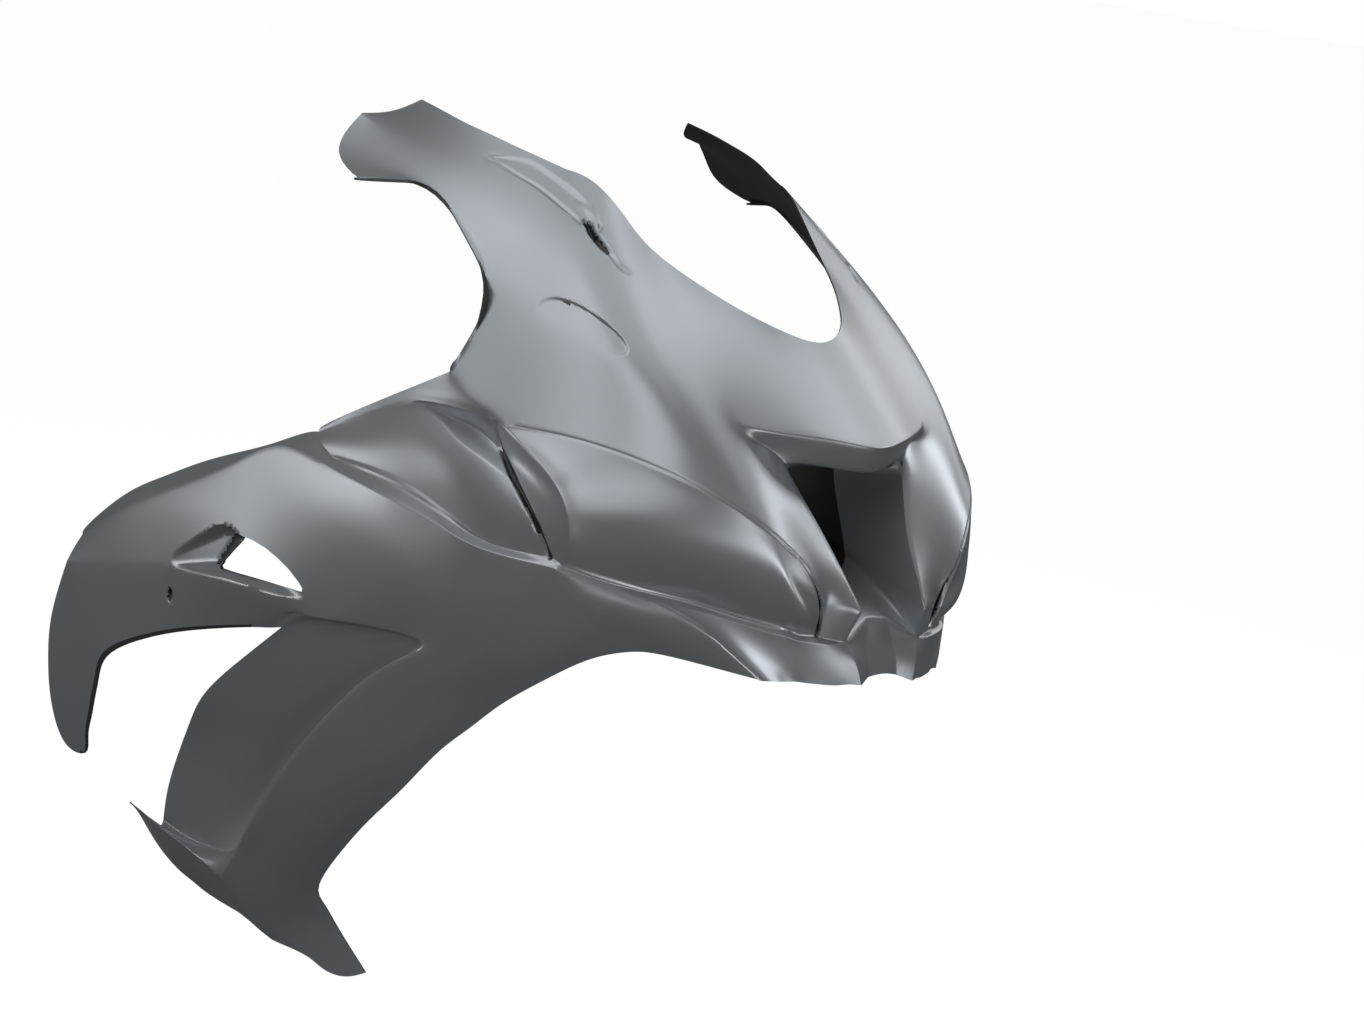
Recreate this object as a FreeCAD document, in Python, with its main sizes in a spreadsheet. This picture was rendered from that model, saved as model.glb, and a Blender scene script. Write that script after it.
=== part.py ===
import FreeCAD, Part
import os

# Race upper fairing of a sport motorcycle: one moulded glass-fibre shell, in millimetres.
# X points forward, Y to the rider's left and Z up. The origin is the middle of the shell's box.
#
# The skin is drawn the way body panels are drawn: body lines run over the outer side, panels are lofted
# through them, and the inner side lies one laminate thickness inside. Each point of a body line is
# (x, distance from the centre plane, z). Lines that the photograph shows on the rider's right are mirrored
# to the left, apart from the side panel, which this fairing carries on its right only.

SHEET = {
    "body_length": 980.0,
    "half_width": 268.0,
    "body_height": 816.0,
    "wall": 2.4,
    "bolt_radius": 3.25,
    "bolt_x": -231.0,
    "bolt_z": -112.0,
    "cut_start": 180.0,
    "cut_depth": 140.0,
    "vent_top_x": -120.0,
    "vent_top_z": -17.0,
    "vent_rear_x": -142.0,
    "vent_rear_z": -54.0,
    "vent_front_x": 4.0,
    "vent_front_z": -40.0,
    "vent_bulge": 8.0,
}

# Size that the body lines below are drawn at
DRAWN_LENGTH = 980.0
DRAWN_HALF_WIDTH = 268.0
DRAWN_HEIGHT = 816.0

# Body lines over the nose, from the centre plane (or the foot of the intake) back to the screen stay
SCREEN_EDGE = [
    (340, 0, 273), (326, 36, 281), (299, 61, 292), (267, 82, 306), (235, 97, 320), (208, 106, 335),
    (183, 111, 353), (159, 117, 368), (143, 122, 374), (133, 126, 376), (123, 130, 377),
    (98, 139, 382), (73, 149, 387), (47, 157, 392), (22, 165, 397), (-4, 171, 402), (-33, 177, 408),
]
BROW = [
    (384, 0, 241), (375, 36, 247), (355, 69, 255), (327, 104, 260), (298, 127, 277), (270, 143, 291),
    (237, 153, 310), (201, 159, 327), (174, 159, 338), (158, 160, 342), (144, 161, 346),
    (118, 163, 355), (93, 166, 364), (63, 172, 374), (34, 177, 382), (-8, 183, 387), (-62, 186, 392),
]
CREST = [
    (433, 0, 204), (424, 34, 207), (408, 63, 208), (373, 114, 210), (353, 140, 228), (322, 162, 248),
    (288, 175, 265), (249, 184, 282), (210, 188, 295), (189, 190, 299), (168, 189, 304),
    (137, 186, 321), (113, 183, 339), (80, 186, 354), (44, 189, 368), (-9, 198, 372), (-80, 206, 386),
]
INTAKE_EDGE = [
    (480, 37, 77), (462, 42, 99), (435, 49, 129), (394, 71, 183), (381, 96, 198),
]
UPPER_FLANK = [
    (476, 49, 79), (457, 54, 103), (433, 65, 133), (415, 81, 161), (401, 107, 184), (398, 118, 184),
    (378, 144, 203), (348, 166, 223), (312, 179, 244), (271, 190, 261), (229, 197, 272),
    (205, 202, 272), (178, 203, 277), (148, 197, 299), (126, 194, 320), (91, 196, 339), (53, 197, 357),
    (-4, 209, 359), (-80, 221, 368),
]
VALLEY = [
    (466, 63, 79), (462, 72, 102), (451, 86, 124), (441, 99, 138), (428, 115, 153), (422, 122, 158),
    (401, 144, 177), (371, 166, 199), (332, 181, 221), (288, 192, 242), (243, 205, 245),
    (215, 212, 240), (183, 215, 245), (156, 209, 273), (139, 204, 299), (102, 207, 324),
    (60, 207, 346), (3, 219, 347), (-69, 233, 348),
]
LOWER_FLANK = [
    (466, 71, 78), (466, 77, 92), (464, 88, 107), (457, 98, 120), (443, 116, 135), (436, 124, 141),
    (418, 143, 153), (387, 168, 166), (344, 193, 175), (289, 216, 178), (226, 235, 173),
    (187, 239, 188), (147, 241, 200), (160, 222, 235), (155, 217, 273), (111, 217, 310),
    (65, 216, 336), (17, 227, 336), (-26, 240, 330),
]
LIP_EDGE = [
    (423, 0, 180), (414, 31, 182),
]
LAMP = [
    [(286, 240, 153), (329, 227, 154), (373, 199, 149), (406, 165, 141), (430, 136, 128),
     (445, 117, 117), (452, 110, 111), (459, 101, 104)],
    [(315, 236, 130), (350, 222, 126), (387, 189, 123), (416, 154, 115), (439, 125, 105),
     (453, 107, 96), (460, 101, 90), (466, 94, 86)],
    [(324, 233, 102), (355, 213, 98), (389, 178, 95), (417, 142, 89), (441, 115, 81), (456, 100, 75),
     (461, 94, 72), (467, 88, 70)],
]
GROOVE_INNER = [
    (18, 256, 89), (82, 258, 94), (136, 257, 93), (182, 254, 86), (239, 250, 75), (306, 234, 81),
    (317, 229, 78), (342, 201, 71), (368, 168, 66), (394, 140, 63), (422, 117, 59), (443, 99, 57),
    (450, 92, 56), (456, 85, 55),
]
GROOVE_OUTER = [
    (11, 261, 83), (93, 267, 82), (146, 267, 80), (195, 265, 77), (247, 260, 72), (307, 238, 74),
    (319, 231, 71), (344, 206, 65), (371, 174, 61), (397, 145, 58), (425, 121, 54), (447, 102, 51),
    (454, 95, 51), (460, 88, 49), (468, 71, 48), (472, 57, 47), (474, 41, 46),
]
RIDGE_FOOT = [
    (463, 68, 53), (468, 55, 50), (472, 41, 50),
]
CHEEK_TOP = [
    (-10, 250, 113), (42, 247, 143), (94, 242, 172),
]
CHEEK = [
    [(-17, 250, 105), (42, 248, 136), (99, 243, 163), (154, 243, 171), (191, 240, 173),
     (209, 234, 171)],
    [(-12, 252, 101), (47, 250, 128), (103, 243, 162), (147, 236, 161), (177, 230, 159),
     (219, 230, 149)],
    [(-4, 254, 96), (55, 253, 120), (108, 245, 159), (171, 249, 151), (213, 247, 142), (254, 239, 130)],
    [(7, 255, 93), (66, 256, 109), (125, 254, 131), (183, 255, 122), (232, 250, 107), (289, 240, 104)],
]
SKIRT_MIDDLE = [
    (341, 210, 47), (365, 188, 41), (417, 152, 48), (433, 129, 38), (442, 112, 36), (457, 96, 36),
    (461, 90, 35), (466, 82, 33), (473, 65, 33), (477, 51, 32), (480, 37, 32),
]
SKIRT_EDGE = [
    (354, 172, 10), (382, 153, 14), (446, 121, 16), (453, 106, 13), (453, 94, 11), (461, 82, 13),
    (466, 75, 13), (471, 66, 13), (478, 51, 13), (483, 41, 15), (488, 31, 15),
]
CHIN = [
    [(484, 18, 76), (490, 0, 69)],
    [(474, 20, 50), (487, 0, 48)],
    [(476, 20, 46), (486, 0, 44)],
    [(480, 18, 34), (485, 0, 34)],
    [(479, 15, 18), (483, 0, 22)],
]
DUCT_WALL_BACK = [
    (282, 40, 97), (274, 42, 112), (262, 45, 130), (240, 50, 163),
]
DUCT_ROOF_BACK = [
    (253, 0, 184), (237, 49, 184),
]
DUCT_FLOOR_BACK = [
    (300, 0, 87), (295, 20, 88),
]
HAUNCH = [
    [(200, 266, 44), (244, 260, 41), (281, 249, 39), (310, 230, 34), (324, 214, 17), (326, 190, -4)],
    [(197, 263, 7), (233, 258, 4), (261, 249, -2), (280, 237, -10), (291, 224, -19), (296, 207, -30)],
    [(186, 256, -31), (207, 254, -33), (226, 250, -39), (240, 243, -46), (252, 232, -54),
     (259, 220, -63)],
]
LEG = [
    [(132, 257, -70), (155, 254, -74), (177, 249, -79), (196, 243, -84), (213, 236, -89),
     (227, 225, -96)],
    [(79, 255, -118), (106, 253, -119), (130, 249, -121), (154, 244, -122), (175, 238, -125),
     (192, 228, -130)],
    [(29, 251, -171), (57, 249, -171), (85, 246, -172), (111, 242, -172), (133, 235, -174),
     (150, 226, -178)],
    [(-19, 245, -231), (9, 243, -229), (38, 240, -227), (64, 236, -224), (85, 230, -224),
     (103, 221, -225)],
    [(-58, 238, -286), (-31, 236, -283), (-4, 233, -280), (20, 229, -277), (42, 222, -275),
     (58, 213, -273)],
    [(-88, 230, -331), (-63, 228, -328), (-38, 226, -327), (-16, 221, -326), (3, 214, -325),
     (18, 205, -325)],
    [(-107, 228, -364), (-79, 224, -363), (-51, 220, -361), (-24, 214, -356), (-1, 206, -351),
     (19, 195, -346)],
    [(-89, 214, -394), (-67, 213, -394), (-44, 211, -390), (-15, 204, -382), (11, 194, -372),
     (31, 185, -366)],
    [(-53, 207, -402), (-34, 206, -403), (4, 198, -402), (25, 192, -408), (48, 183, -408),
     (66, 172, -398)],
]
ARM = [
    [(146, 267, 80), (145, 268, 40), (133, 264, 0), (105, 257, -40)],
    [(93, 267, 82), (80, 267, 35), (47, 259, -36), (26, 257, -57)],
    [(11, 261, 83), (-2, 263, 33), (-3, 259, -47), (-9, 254, -61)],
    [(-69, 256, 79), (-79, 258, 23), (-74, 260, -59), (-86, 246, -102)],
    [(-138, 253, 44), (-143, 255, 1), (-138, 259, -66), (-154, 243, -125)],
    [(-195, 250, 14), (-212, 252, -26), (-218, 251, -82), (-216, 241, -148)],
    [(-262, 247, -20), (-282, 247, -53), (-285, 247, -101), (-268, 238, -170)],
    [(-346, 240, -60), (-354, 241, -81), (-356, 241, -121), (-323, 234, -197)],
    [(-428, 231, -110), (-440, 231, -126), (-449, 233, -145), (-363, 229, -225)],
]
TAB = [
    [(-472, 226, -184), (-377, 224, -252)],
    [(-488, 221, -227), (-388, 219, -277)],
    [(-490, 216, -272), (-396, 215, -299)],
    [(-483, 211, -312), (-405, 211, -322)],
    [(-458, 205, -349), (-413, 206, -345)],
]
EXIT_PANEL = [
    [(178, 250, -33), (92, 249, -47), (15, 248, -64), (-38, 247, -87)],
    [(111, 241, -78), (38, 240, -99), (-36, 239, -119), (-101, 238, -135)],
    [(47, 231, -131), (-28, 230, -156), (-99, 229, -175), (-173, 228, -194)],
    [(-15, 219, -189), (-77, 219, -207), (-143, 218, -224), (-210, 217, -238)],
    [(-69, 209, -252), (-123, 209, -265), (-182, 208, -274), (-238, 207, -280)],
    [(-102, 207, -306), (-153, 206, -316), (-206, 205, -322), (-254, 204, -325)],
    [(-112, 212, -339), (-168, 206, -356), (-213, 204, -362), (-258, 202, -362)],
]
LEDGE_ROOT = [
    (-155, 212, -353), (-201, 210, -362), (-252, 208, -365),
]
LEDGE_EDGE = [
    (-159, 223, -362), (-229, 216, -363), (-318, 206, -365),
]
LEDGE_FOOT = [
    (-163, 212, -398), (-242, 208, -391), (-304, 200, -374),
]

# Top edge of the arm's flange, from its hidden front end back to the tab
ARM_TOP = [
    (-27, 244, 103), (-82, 248, 78), (-148, 244, 51), (-215, 241, 23), (-282, 239, -10),
    (-351, 235, -46), (-425, 228, -99),
]
# Single points: front end of the flange, front of the lamp, corner between arm and exit panel
TONGUE = (3, 246, 96)
LAMP_FRONT = (465, 69, 65)
ARM_CORNER = (-65, 244, -96)

# How much of the skirt's depth is left at each station on the side without a side panel
SKIRT_TAPER = [0.3, 0.5, 0.8]


def build_sheet(document):
    """Keep the driving sizes in the sheet."""
    sheet = document.addObject("Spreadsheet::Sheet", "sizes")
    for number, (alias, value) in enumerate(SHEET.items(), start=1):
        sheet.set(f"A{number}", alias)
        sheet.set(f"B{number}", str(value))
        sheet.setAlias(f"B{number}", alias)
    document.recompute()
    return sheet


def right(line):
    """The line's points on the rider's right."""
    return [(x, -y, z) for x, y, z in line]


def left(line):
    """The line's points on the rider's left."""
    return [(x, y, z) for x, y, z in line]


def across(line):
    """A line that starts on the centre plane, carried over to both sides."""
    return left(line[:0:-1]) + right(line)


def columns(rows):
    """The same grid, read the other way."""
    return [list(column) for column in zip(*rows)]


def middle_grids():
    """Panels that cross the centre plane, each with +1 where its rows and stations turn outward."""
    lip = LIP_EDGE + [INTAKE_EDGE[3], INTAKE_EDGE[4]]
    roof = [DUCT_ROOF_BACK[0], DUCT_ROOF_BACK[1], DUCT_WALL_BACK[3]]
    floor_front = [CHIN[0][1], CHIN[0][0], INTAKE_EDGE[0]]
    floor_back = DUCT_FLOOR_BACK + [DUCT_WALL_BACK[0]]
    chin_side = [INTAKE_EDGE[0], RIDGE_FOOT[2], GROOVE_OUTER[16], SKIRT_MIDDLE[10], SKIRT_EDGE[10]]
    chin = [across([centre, inner, side]) for side, (inner, centre) in zip(chin_side, CHIN)]
    return [
        ([across(SCREEN_EDGE), across(BROW), across(CREST)], 1),
        ([across(CREST[:4]), across(lip)], 1),
        ([across(lip[:3]), across(roof)], 1),
        ([across(floor_front), across(floor_back)], -1),
        (chin[:2], 1),
        (chin[1:3], 1),
        (chin[2:], 1),
    ]


def nose_grids():
    """Panels of one side of the nose: flank, lamp bulge, cheek and groove."""
    flank = [INTAKE_EDGE + CREST[3:], UPPER_FLANK, VALLEY, LOWER_FLANK]
    rim = LOWER_FLANK
    # Stations of the flank's lower line: intake foot at 0, lamp front at 3, lamp rear at 10, cheek end at 12
    lamp_top = rim[10:2:-1]
    lamp = [lamp_top] + LAMP + [GROOVE_INNER[6:]]
    lamp_front = [[rim[3], LAMP[0][7], LAMP[1][7], LAMP[2][7], GROOVE_INNER[13]],
                  [rim[2], rim[1], rim[0], LAMP_FRONT, RIDGE_FOOT[0]]]
    lamp_foot = [[rim[0], LAMP_FRONT], [VALLEY[0], RIDGE_FOOT[0]]]
    cheek = [CHEEK_TOP + [rim[12], rim[11], rim[10]]] + CHEEK + [GROOVE_INNER[:6]]
    behind_lamp = [[rim[10], CHEEK[0][5]], [LAMP[0][0], CHEEK[1][5]], [LAMP[1][0], CHEEK[2][5]],
                   [LAMP[2][0], CHEEK[3][5]], [GROOVE_INNER[6], GROOVE_INNER[5]]]
    ridge_end = [RIDGE_FOOT[::-1], [INTAKE_EDGE[0], UPPER_FLANK[0], VALLEY[0]]]
    groove = [GROOVE_INNER + RIDGE_FOOT, GROOVE_OUTER]
    return [(flank, 1), (lamp, -1), (lamp_front, 1), (lamp_foot, 1), (cheek[:2], -1), (cheek[1:3], -1),
            (cheek[2:4], -1), (cheek[3:], -1), (behind_lamp, 1), (ridge_end, -1), (groove, -1),
            ([INTAKE_EDGE[:4], DUCT_WALL_BACK], -1)]


def skirt_grid(edge_middle, edge):
    """The skirt under the lamp."""
    return [GROOVE_OUTER[6:], edge_middle, edge]


def tapered(line):
    """A skirt line that runs out towards the groove at its rear end."""
    out = list(line)
    for station, share in enumerate(SKIRT_TAPER):
        top = GROOVE_OUTER[6 + station]
        out[station] = tuple(a + share * (b - a) for a, b in zip(top, line[station]))
    return out


def side_panel_grids():
    """Panels of the side panel: haunch, leg, arm, tab, exit panel with its step, and the ledge below it."""
    haunch = [GROOVE_OUTER[3:7] + [SKIRT_MIDDLE[0], SKIRT_EDGE[0]]] + HAUNCH
    leg = [HAUNCH[2]] + LEG
    arm = [[haunch[0][0], HAUNCH[0][0], HAUNCH[1][0], HAUNCH[2][0]]] + ARM
    flange = [ARM_TOP, [GROOVE_OUTER[0]] + [line[0] for line in ARM[3:]]]
    tongue = [[ARM_TOP[0], TONGUE], [GROOVE_OUTER[0], GROOVE_INNER[0]]]
    corner = [[ARM[3][3], ARM[2][3]], [ARM_CORNER, EXIT_PANEL[0][3]]]
    tab = [ARM[8][2:]] + TAB
    lip = [HAUNCH[2][0]] + [line[0] for line in LEG[:6]]
    top = [HAUNCH[2][0]] + [line[3] for line in ARM[:3]]
    step = [lip, [line[0] for line in EXIT_PANEL]]
    ledge = [EXIT_PANEL[6], [LEG[5][0]] + LEDGE_ROOT, [LEG[6][0]] + LEDGE_EDGE, [LEG[7][0]] + LEDGE_FOOT]
    return [(haunch, -1), (leg, -1), (arm, -1), (tab, -1), (EXIT_PANEL, 1), ([top, EXIT_PANEL[0]], 1),
            (step, -1), (ledge[:2], 1), (ledge[1:3], 1), (ledge[2:], 1), (flange, 1), (tongue, -1),
            (corner, -1)]


def all_grids():
    """Every panel of the shell as (rows of points, side that faces out)."""
    grids = middle_grids()
    for rows, turn in nose_grids() + [(skirt_grid(SKIRT_MIDDLE, SKIRT_EDGE), -1)] + side_panel_grids():
        grids.append(([right(line) for line in rows], turn))
    for rows, turn in nose_grids() + [(skirt_grid(tapered(SKIRT_MIDDLE), tapered(SKIRT_EDGE)), -1)]:
        grids.append(([left(line) for line in rows], -turn))
    return grids


def long_lines():
    """Lines that stay smooth from one panel to the next."""
    over = [columns([SCREEN_EDGE[3:], BROW[3:], CREST[3:], UPPER_FLANK[5:], VALLEY[5:], LOWER_FLANK[5:]])]
    lines = [right(line) for line in over[0]] + [left(line) for line in over[0]]
    lines += [right(GROOVE_OUTER), left(GROOVE_OUTER)]
    for number, edge in ((4, SKIRT_MIDDLE), (5, SKIRT_EDGE)):
        lines.append(right(edge[::-1] + [line[number] for line in HAUNCH + LEG]))
    for number in range(4):
        lines.append(right([GROOVE_OUTER[3 + number]] + [line[number] for line in HAUNCH + LEG]))
    for number in range(1, 4):
        lines.append(right([line[number] for line in ARM[::-1]] + HAUNCH[number - 1]))
    lines.append(right([line[0] for line in ARM[::-1]] + GROOVE_OUTER[3:7]))
    return lines


def place(point, sheet):
    """A drawn point at the sheet's size."""
    x, y, z = point
    return FreeCAD.Vector(x * sheet.body_length / DRAWN_LENGTH, y * sheet.half_width / DRAWN_HALF_WIDTH,
                          z * sheet.body_height / DRAWN_HEIGHT)


def note_pulls(pulls, line, where):
    """Note the tangent at both ends of every span of a line, unless an earlier line has settled it."""
    spots = [where[point] for point in line]
    if len(spots) == 2:
        slopes = [spots[1] - spots[0]] * 2
    else:
        slopes = [(after - before) * 0.5 for before, after in zip(spots, spots[2:])]
        slopes.insert(0, (spots[1] - spots[0]) * 1.5 - slopes[0] * 0.5)
        slopes.append((spots[-1] - spots[-2]) * 1.5 - slopes[-1] * 0.5)
    for start, end, slope_a, slope_b in zip(line, line[1:], slopes, slopes[1:]):
        if (start, end) not in pulls:
            pulls[start, end] = (slope_a, slope_b)
            pulls[end, start] = (slope_b * -1, slope_a * -1)


def settle_pulls(grids, where):
    """Tangents of every span: long lines first, then each panel's own rows and stations."""
    pulls = {}
    for line in long_lines():
        note_pulls(pulls, line, where)
    for rows, _ in grids:
        for line in rows + columns(rows):
            note_pulls(pulls, line, where)
    return pulls


def span_poles(pulls, where, start, end):
    """Four poles of the curve between two neighbouring points."""
    slope_a, slope_b = pulls[start, end]
    return [where[start], where[start] + slope_a / 3, where[end] - slope_b / 3, where[end]]


def patch_poles(pulls, where, corners):
    """Sixteen poles of the patch between four points, given row by row."""
    near_a, near_b, far_a, far_b = corners
    top = span_poles(pulls, where, near_a, near_b)
    bottom = span_poles(pulls, where, far_a, far_b)
    first = span_poles(pulls, where, near_a, far_a)
    last = span_poles(pulls, where, near_b, far_b)
    inner_top = [first[1], first[1] + top[1] - top[0], last[1] + top[2] - top[3], last[1]]
    inner_bottom = [first[2], first[2] + bottom[1] - bottom[0], last[2] + bottom[2] - bottom[3], last[2]]
    return [top, inner_top, inner_bottom, bottom]


def smooth_face(poles):
    """A face through a grid of poles, three to a span, with each joint as smooth as its poles allow."""
    spans = [(len(poles) - 1) // 3, (len(poles[0]) - 1) // 3]
    knots = [list(range(count + 1)) for count in spans]
    repeats = [[4] + [3] * (count - 1) + [4] for count in spans]
    surface = Part.BSplineSurface()
    surface.buildFromPolesMultsKnots(poles, repeats[0], repeats[1], knots[0], knots[1], False, False, 3, 3)
    for number in range(spans[0], 1, -1):
        surface.removeUKnot(number, 2, 1e-4)
    for number in range(spans[1], 1, -1):
        surface.removeVKnot(number, 2, 1e-4)
    return surface.toShape()


def panel_face(rows, pulls, where):
    """The face lofted through a panel's lines."""
    height = 3 * (len(rows) - 1) + 1
    width = 3 * (len(rows[0]) - 1) + 1
    poles = [[None] * width for _ in range(height)]
    for i in range(len(rows) - 1):
        for j in range(len(rows[0]) - 1):
            corners = (rows[i][j], rows[i][j + 1], rows[i + 1][j], rows[i + 1][j + 1])
            for a, line in enumerate(patch_poles(pulls, where, corners)):
                for b, pole in enumerate(line):
                    poles[3 * i + a][3 * j + b] = pole
    return smooth_face(poles)


def rim_face(line, outer_pulls, inner_pulls, outer, inner):
    """The trimmed edge of the laminate along a free line."""
    poles = []
    for pulls, where in ((outer_pulls, outer), (inner_pulls, inner)):
        track = [where[line[0]]]
        for start, end in zip(line, line[1:]):
            track += span_poles(pulls, where, start, end)[1:]
        poles.append(track)
    spans = len(line) - 1
    surface = Part.BSplineSurface()
    surface.buildFromPolesMultsKnots(poles, [2, 2], [4] + [3] * (spans - 1) + [4], [0, 1],
                                     list(range(spans + 1)), False, False, 1, 3)
    return surface.toShape()


def split_grids(grids):
    """Cut the panels so that panels meet corner to corner."""
    pieces = [rows for rows, _ in grids]
    while True:
        corners = {rows[i][j] for rows in pieces for i in (0, -1) for j in (0, -1)}
        result = []
        for rows in pieces:
            cut = next((i for i in range(1, len(rows) - 1)
                        if rows[i][0] in corners or rows[i][-1] in corners), None)
            if cut is not None:
                result += [rows[:cut + 1], rows[cut:]]
                continue
            cut = next((j for j in range(1, len(rows[0]) - 1)
                        if rows[0][j] in corners or rows[-1][j] in corners), None)
            if cut is not None:
                result += [[line[:cut + 1] for line in rows], [line[cut:] for line in rows]]
                continue
            result.append(rows)
        if len(result) == len(pieces):
            return pieces
        pieces = result


def inner_points(grids, outer, wall):
    """Every point moved one laminate thickness to the inside, along the mean of the panels that meet there."""
    facing = {point: [] for point in outer}
    for rows, turn in grids:
        for i in range(len(rows) - 1):
            for j in range(len(rows[0]) - 1):
                ring = [rows[i][j], rows[i][j + 1], rows[i + 1][j + 1], rows[i + 1][j]]
                spots = [outer[point] for point in ring]
                normal = (spots[2] - spots[0]).cross(spots[3] - spots[1]).normalize() * turn
                for point in ring:
                    facing[point].append(normal)
    inner = {}
    for point, normals in facing.items():
        total = FreeCAD.Vector()
        for normal in normals:
            total += normal
        total.normalize()
        lean = sum(total.dot(normal) for normal in normals) / len(normals)
        inner[point] = outer[point] - total * (wall / max(lean, 0.6))
    return inner


def shell_shape(sheet):
    """The closed skin: outer side, inner side and trimmed edges, sewn to one solid."""
    grids = all_grids()
    outer = {point: place(point, sheet) for rows, _ in grids for line in rows for point in line}
    inner = inner_points(grids, outer, sheet.wall)
    outer_pulls = settle_pulls(grids, outer)
    inner_pulls = settle_pulls(grids, inner)
    pieces = split_grids(grids)
    faces = []
    uses = {}
    for rows in pieces:
        faces.append(panel_face(rows, outer_pulls, outer))
        faces.append(panel_face(rows, inner_pulls, inner))
        for line in (rows[0], rows[-1], [row[0] for row in rows], [row[-1] for row in rows]):
            uses.setdefault(frozenset(line), []).append(line)
    free = [lines[0] for lines in uses.values() if len(lines) == 1]
    faces += [rim_face(line, outer_pulls, inner_pulls, outer, inner) for line in free]
    skin = Part.makeCompound(faces)
    skin.sewShape(0.01)
    solid = Part.Solid(skin.Shells[0])
    if solid.Volume < 0:
        solid.reverse()
    return solid


def build_shell(document, sheet):
    """The moulded skin, before anything is cut in it."""
    shell = document.addObject("Part::Feature", "skin")
    shell.Label = "skin"
    shell.Shape = shell_shape(sheet)
    shell.Placement = FreeCAD.Placement()
    return shell


def vent_outline(sheet):
    """The vent's outline in the side view: two straight sides and a bowed upper side."""
    top = FreeCAD.Vector(sheet.vent_top_x, sheet.vent_top_z, 0)
    rear = FreeCAD.Vector(sheet.vent_rear_x, sheet.vent_rear_z, 0)
    front = FreeCAD.Vector(sheet.vent_front_x, sheet.vent_front_z, 0)
    along = front - top
    across_it = FreeCAD.Vector(-along.y, along.x, 0).normalize()
    middle = top + along * 0.5 + across_it * sheet.vent_bulge
    return [Part.LineSegment(top, rear), Part.LineSegment(rear, front), Part.Arc(front, middle, top)]


def build_vent(document, sheet):
    """The triangular vent, cut through the arm of the side panel."""
    sketch = document.addObject("Sketcher::SketchObject", "vent_sketch")
    sketch.Label = "vent_sketch"
    sketch.addGeometry(vent_outline(sheet), False)
    sketch.Placement = FreeCAD.Placement(FreeCAD.Vector(), FreeCAD.Rotation(FreeCAD.Vector(1, 0, 0), 90))
    sketch.setExpression("Placement.Base.y", "-sizes.cut_start")
    vent = document.addObject("Part::Extrusion", "vent_cut")
    vent.Label = "vent_cut"
    vent.Base = sketch
    vent.DirMode = "Custom"
    vent.Dir = FreeCAD.Vector(0, -1, 0)
    vent.Solid = True
    vent.setExpression("LengthFwd", "sizes.cut_depth")
    return vent


def build_bolt_hole(document):
    """The drilled hole in the arm, for the fastener that holds the side panel."""
    hole = document.addObject("Part::Cylinder", "bolt_hole")
    hole.Label = "bolt_hole"
    hole.Placement = FreeCAD.Placement(FreeCAD.Vector(), FreeCAD.Rotation(FreeCAD.Vector(1, 0, 0), 90))
    hole.setExpression("Radius", "sizes.bolt_radius")
    hole.setExpression("Height", "sizes.cut_depth")
    hole.setExpression("Placement.Base.x", "sizes.bolt_x")
    hole.setExpression("Placement.Base.y", "-sizes.cut_start")
    hole.setExpression("Placement.Base.z", "sizes.bolt_z")
    return hole


def cut(document, name, base, tool):
    """The base with the tool's shape taken out."""
    result = document.addObject("Part::Cut", name)
    result.Label = name
    result.Base = base
    result.Tool = tool
    return result


def check(document):
    """Stop where an object has failed."""
    for item in document.Objects:
        failed = [state for state in item.State if state in ("Invalid", "Error")]
        if failed:
            raise RuntimeError(f"{item.Label}: {failed}")
        if hasattr(item, "Shape") and (item.Shape.isNull() or not item.Shape.isValid()):
            raise RuntimeError(f"{item.Label}: bad shape")


def main():
    """Build the fairing and write it."""
    document = FreeCAD.newDocument("fairing")
    sheet = build_sheet(document)
    skin = build_shell(document, sheet)
    vented = cut(document, "vented_skin", skin, build_vent(document, sheet))
    fairing = cut(document, "fairing", vented, build_bolt_hole(document))
    document.recompute()
    check(document)
    os.makedirs("parts", exist_ok=True)
    fairing.Shape.exportStep("parts/fairing.step")
    box = fairing.Shape.BoundBox
    print("box", box)
    print("solids", len(fairing.Shape.Solids), "volume", fairing.Shape.Volume, "faces", len(fairing.Shape.Faces))


main()
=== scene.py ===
"""Dressed scene of a race upper fairing: one moulded shell in grey primer, raw and black inside."""

import logging
import math
from dataclasses import dataclass, field, replace
from enum import Enum
import bmesh
import bpy
import numpy as np
from mathutils import Matrix, Vector
from mathutils.bvhtree import BVHTree


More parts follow.
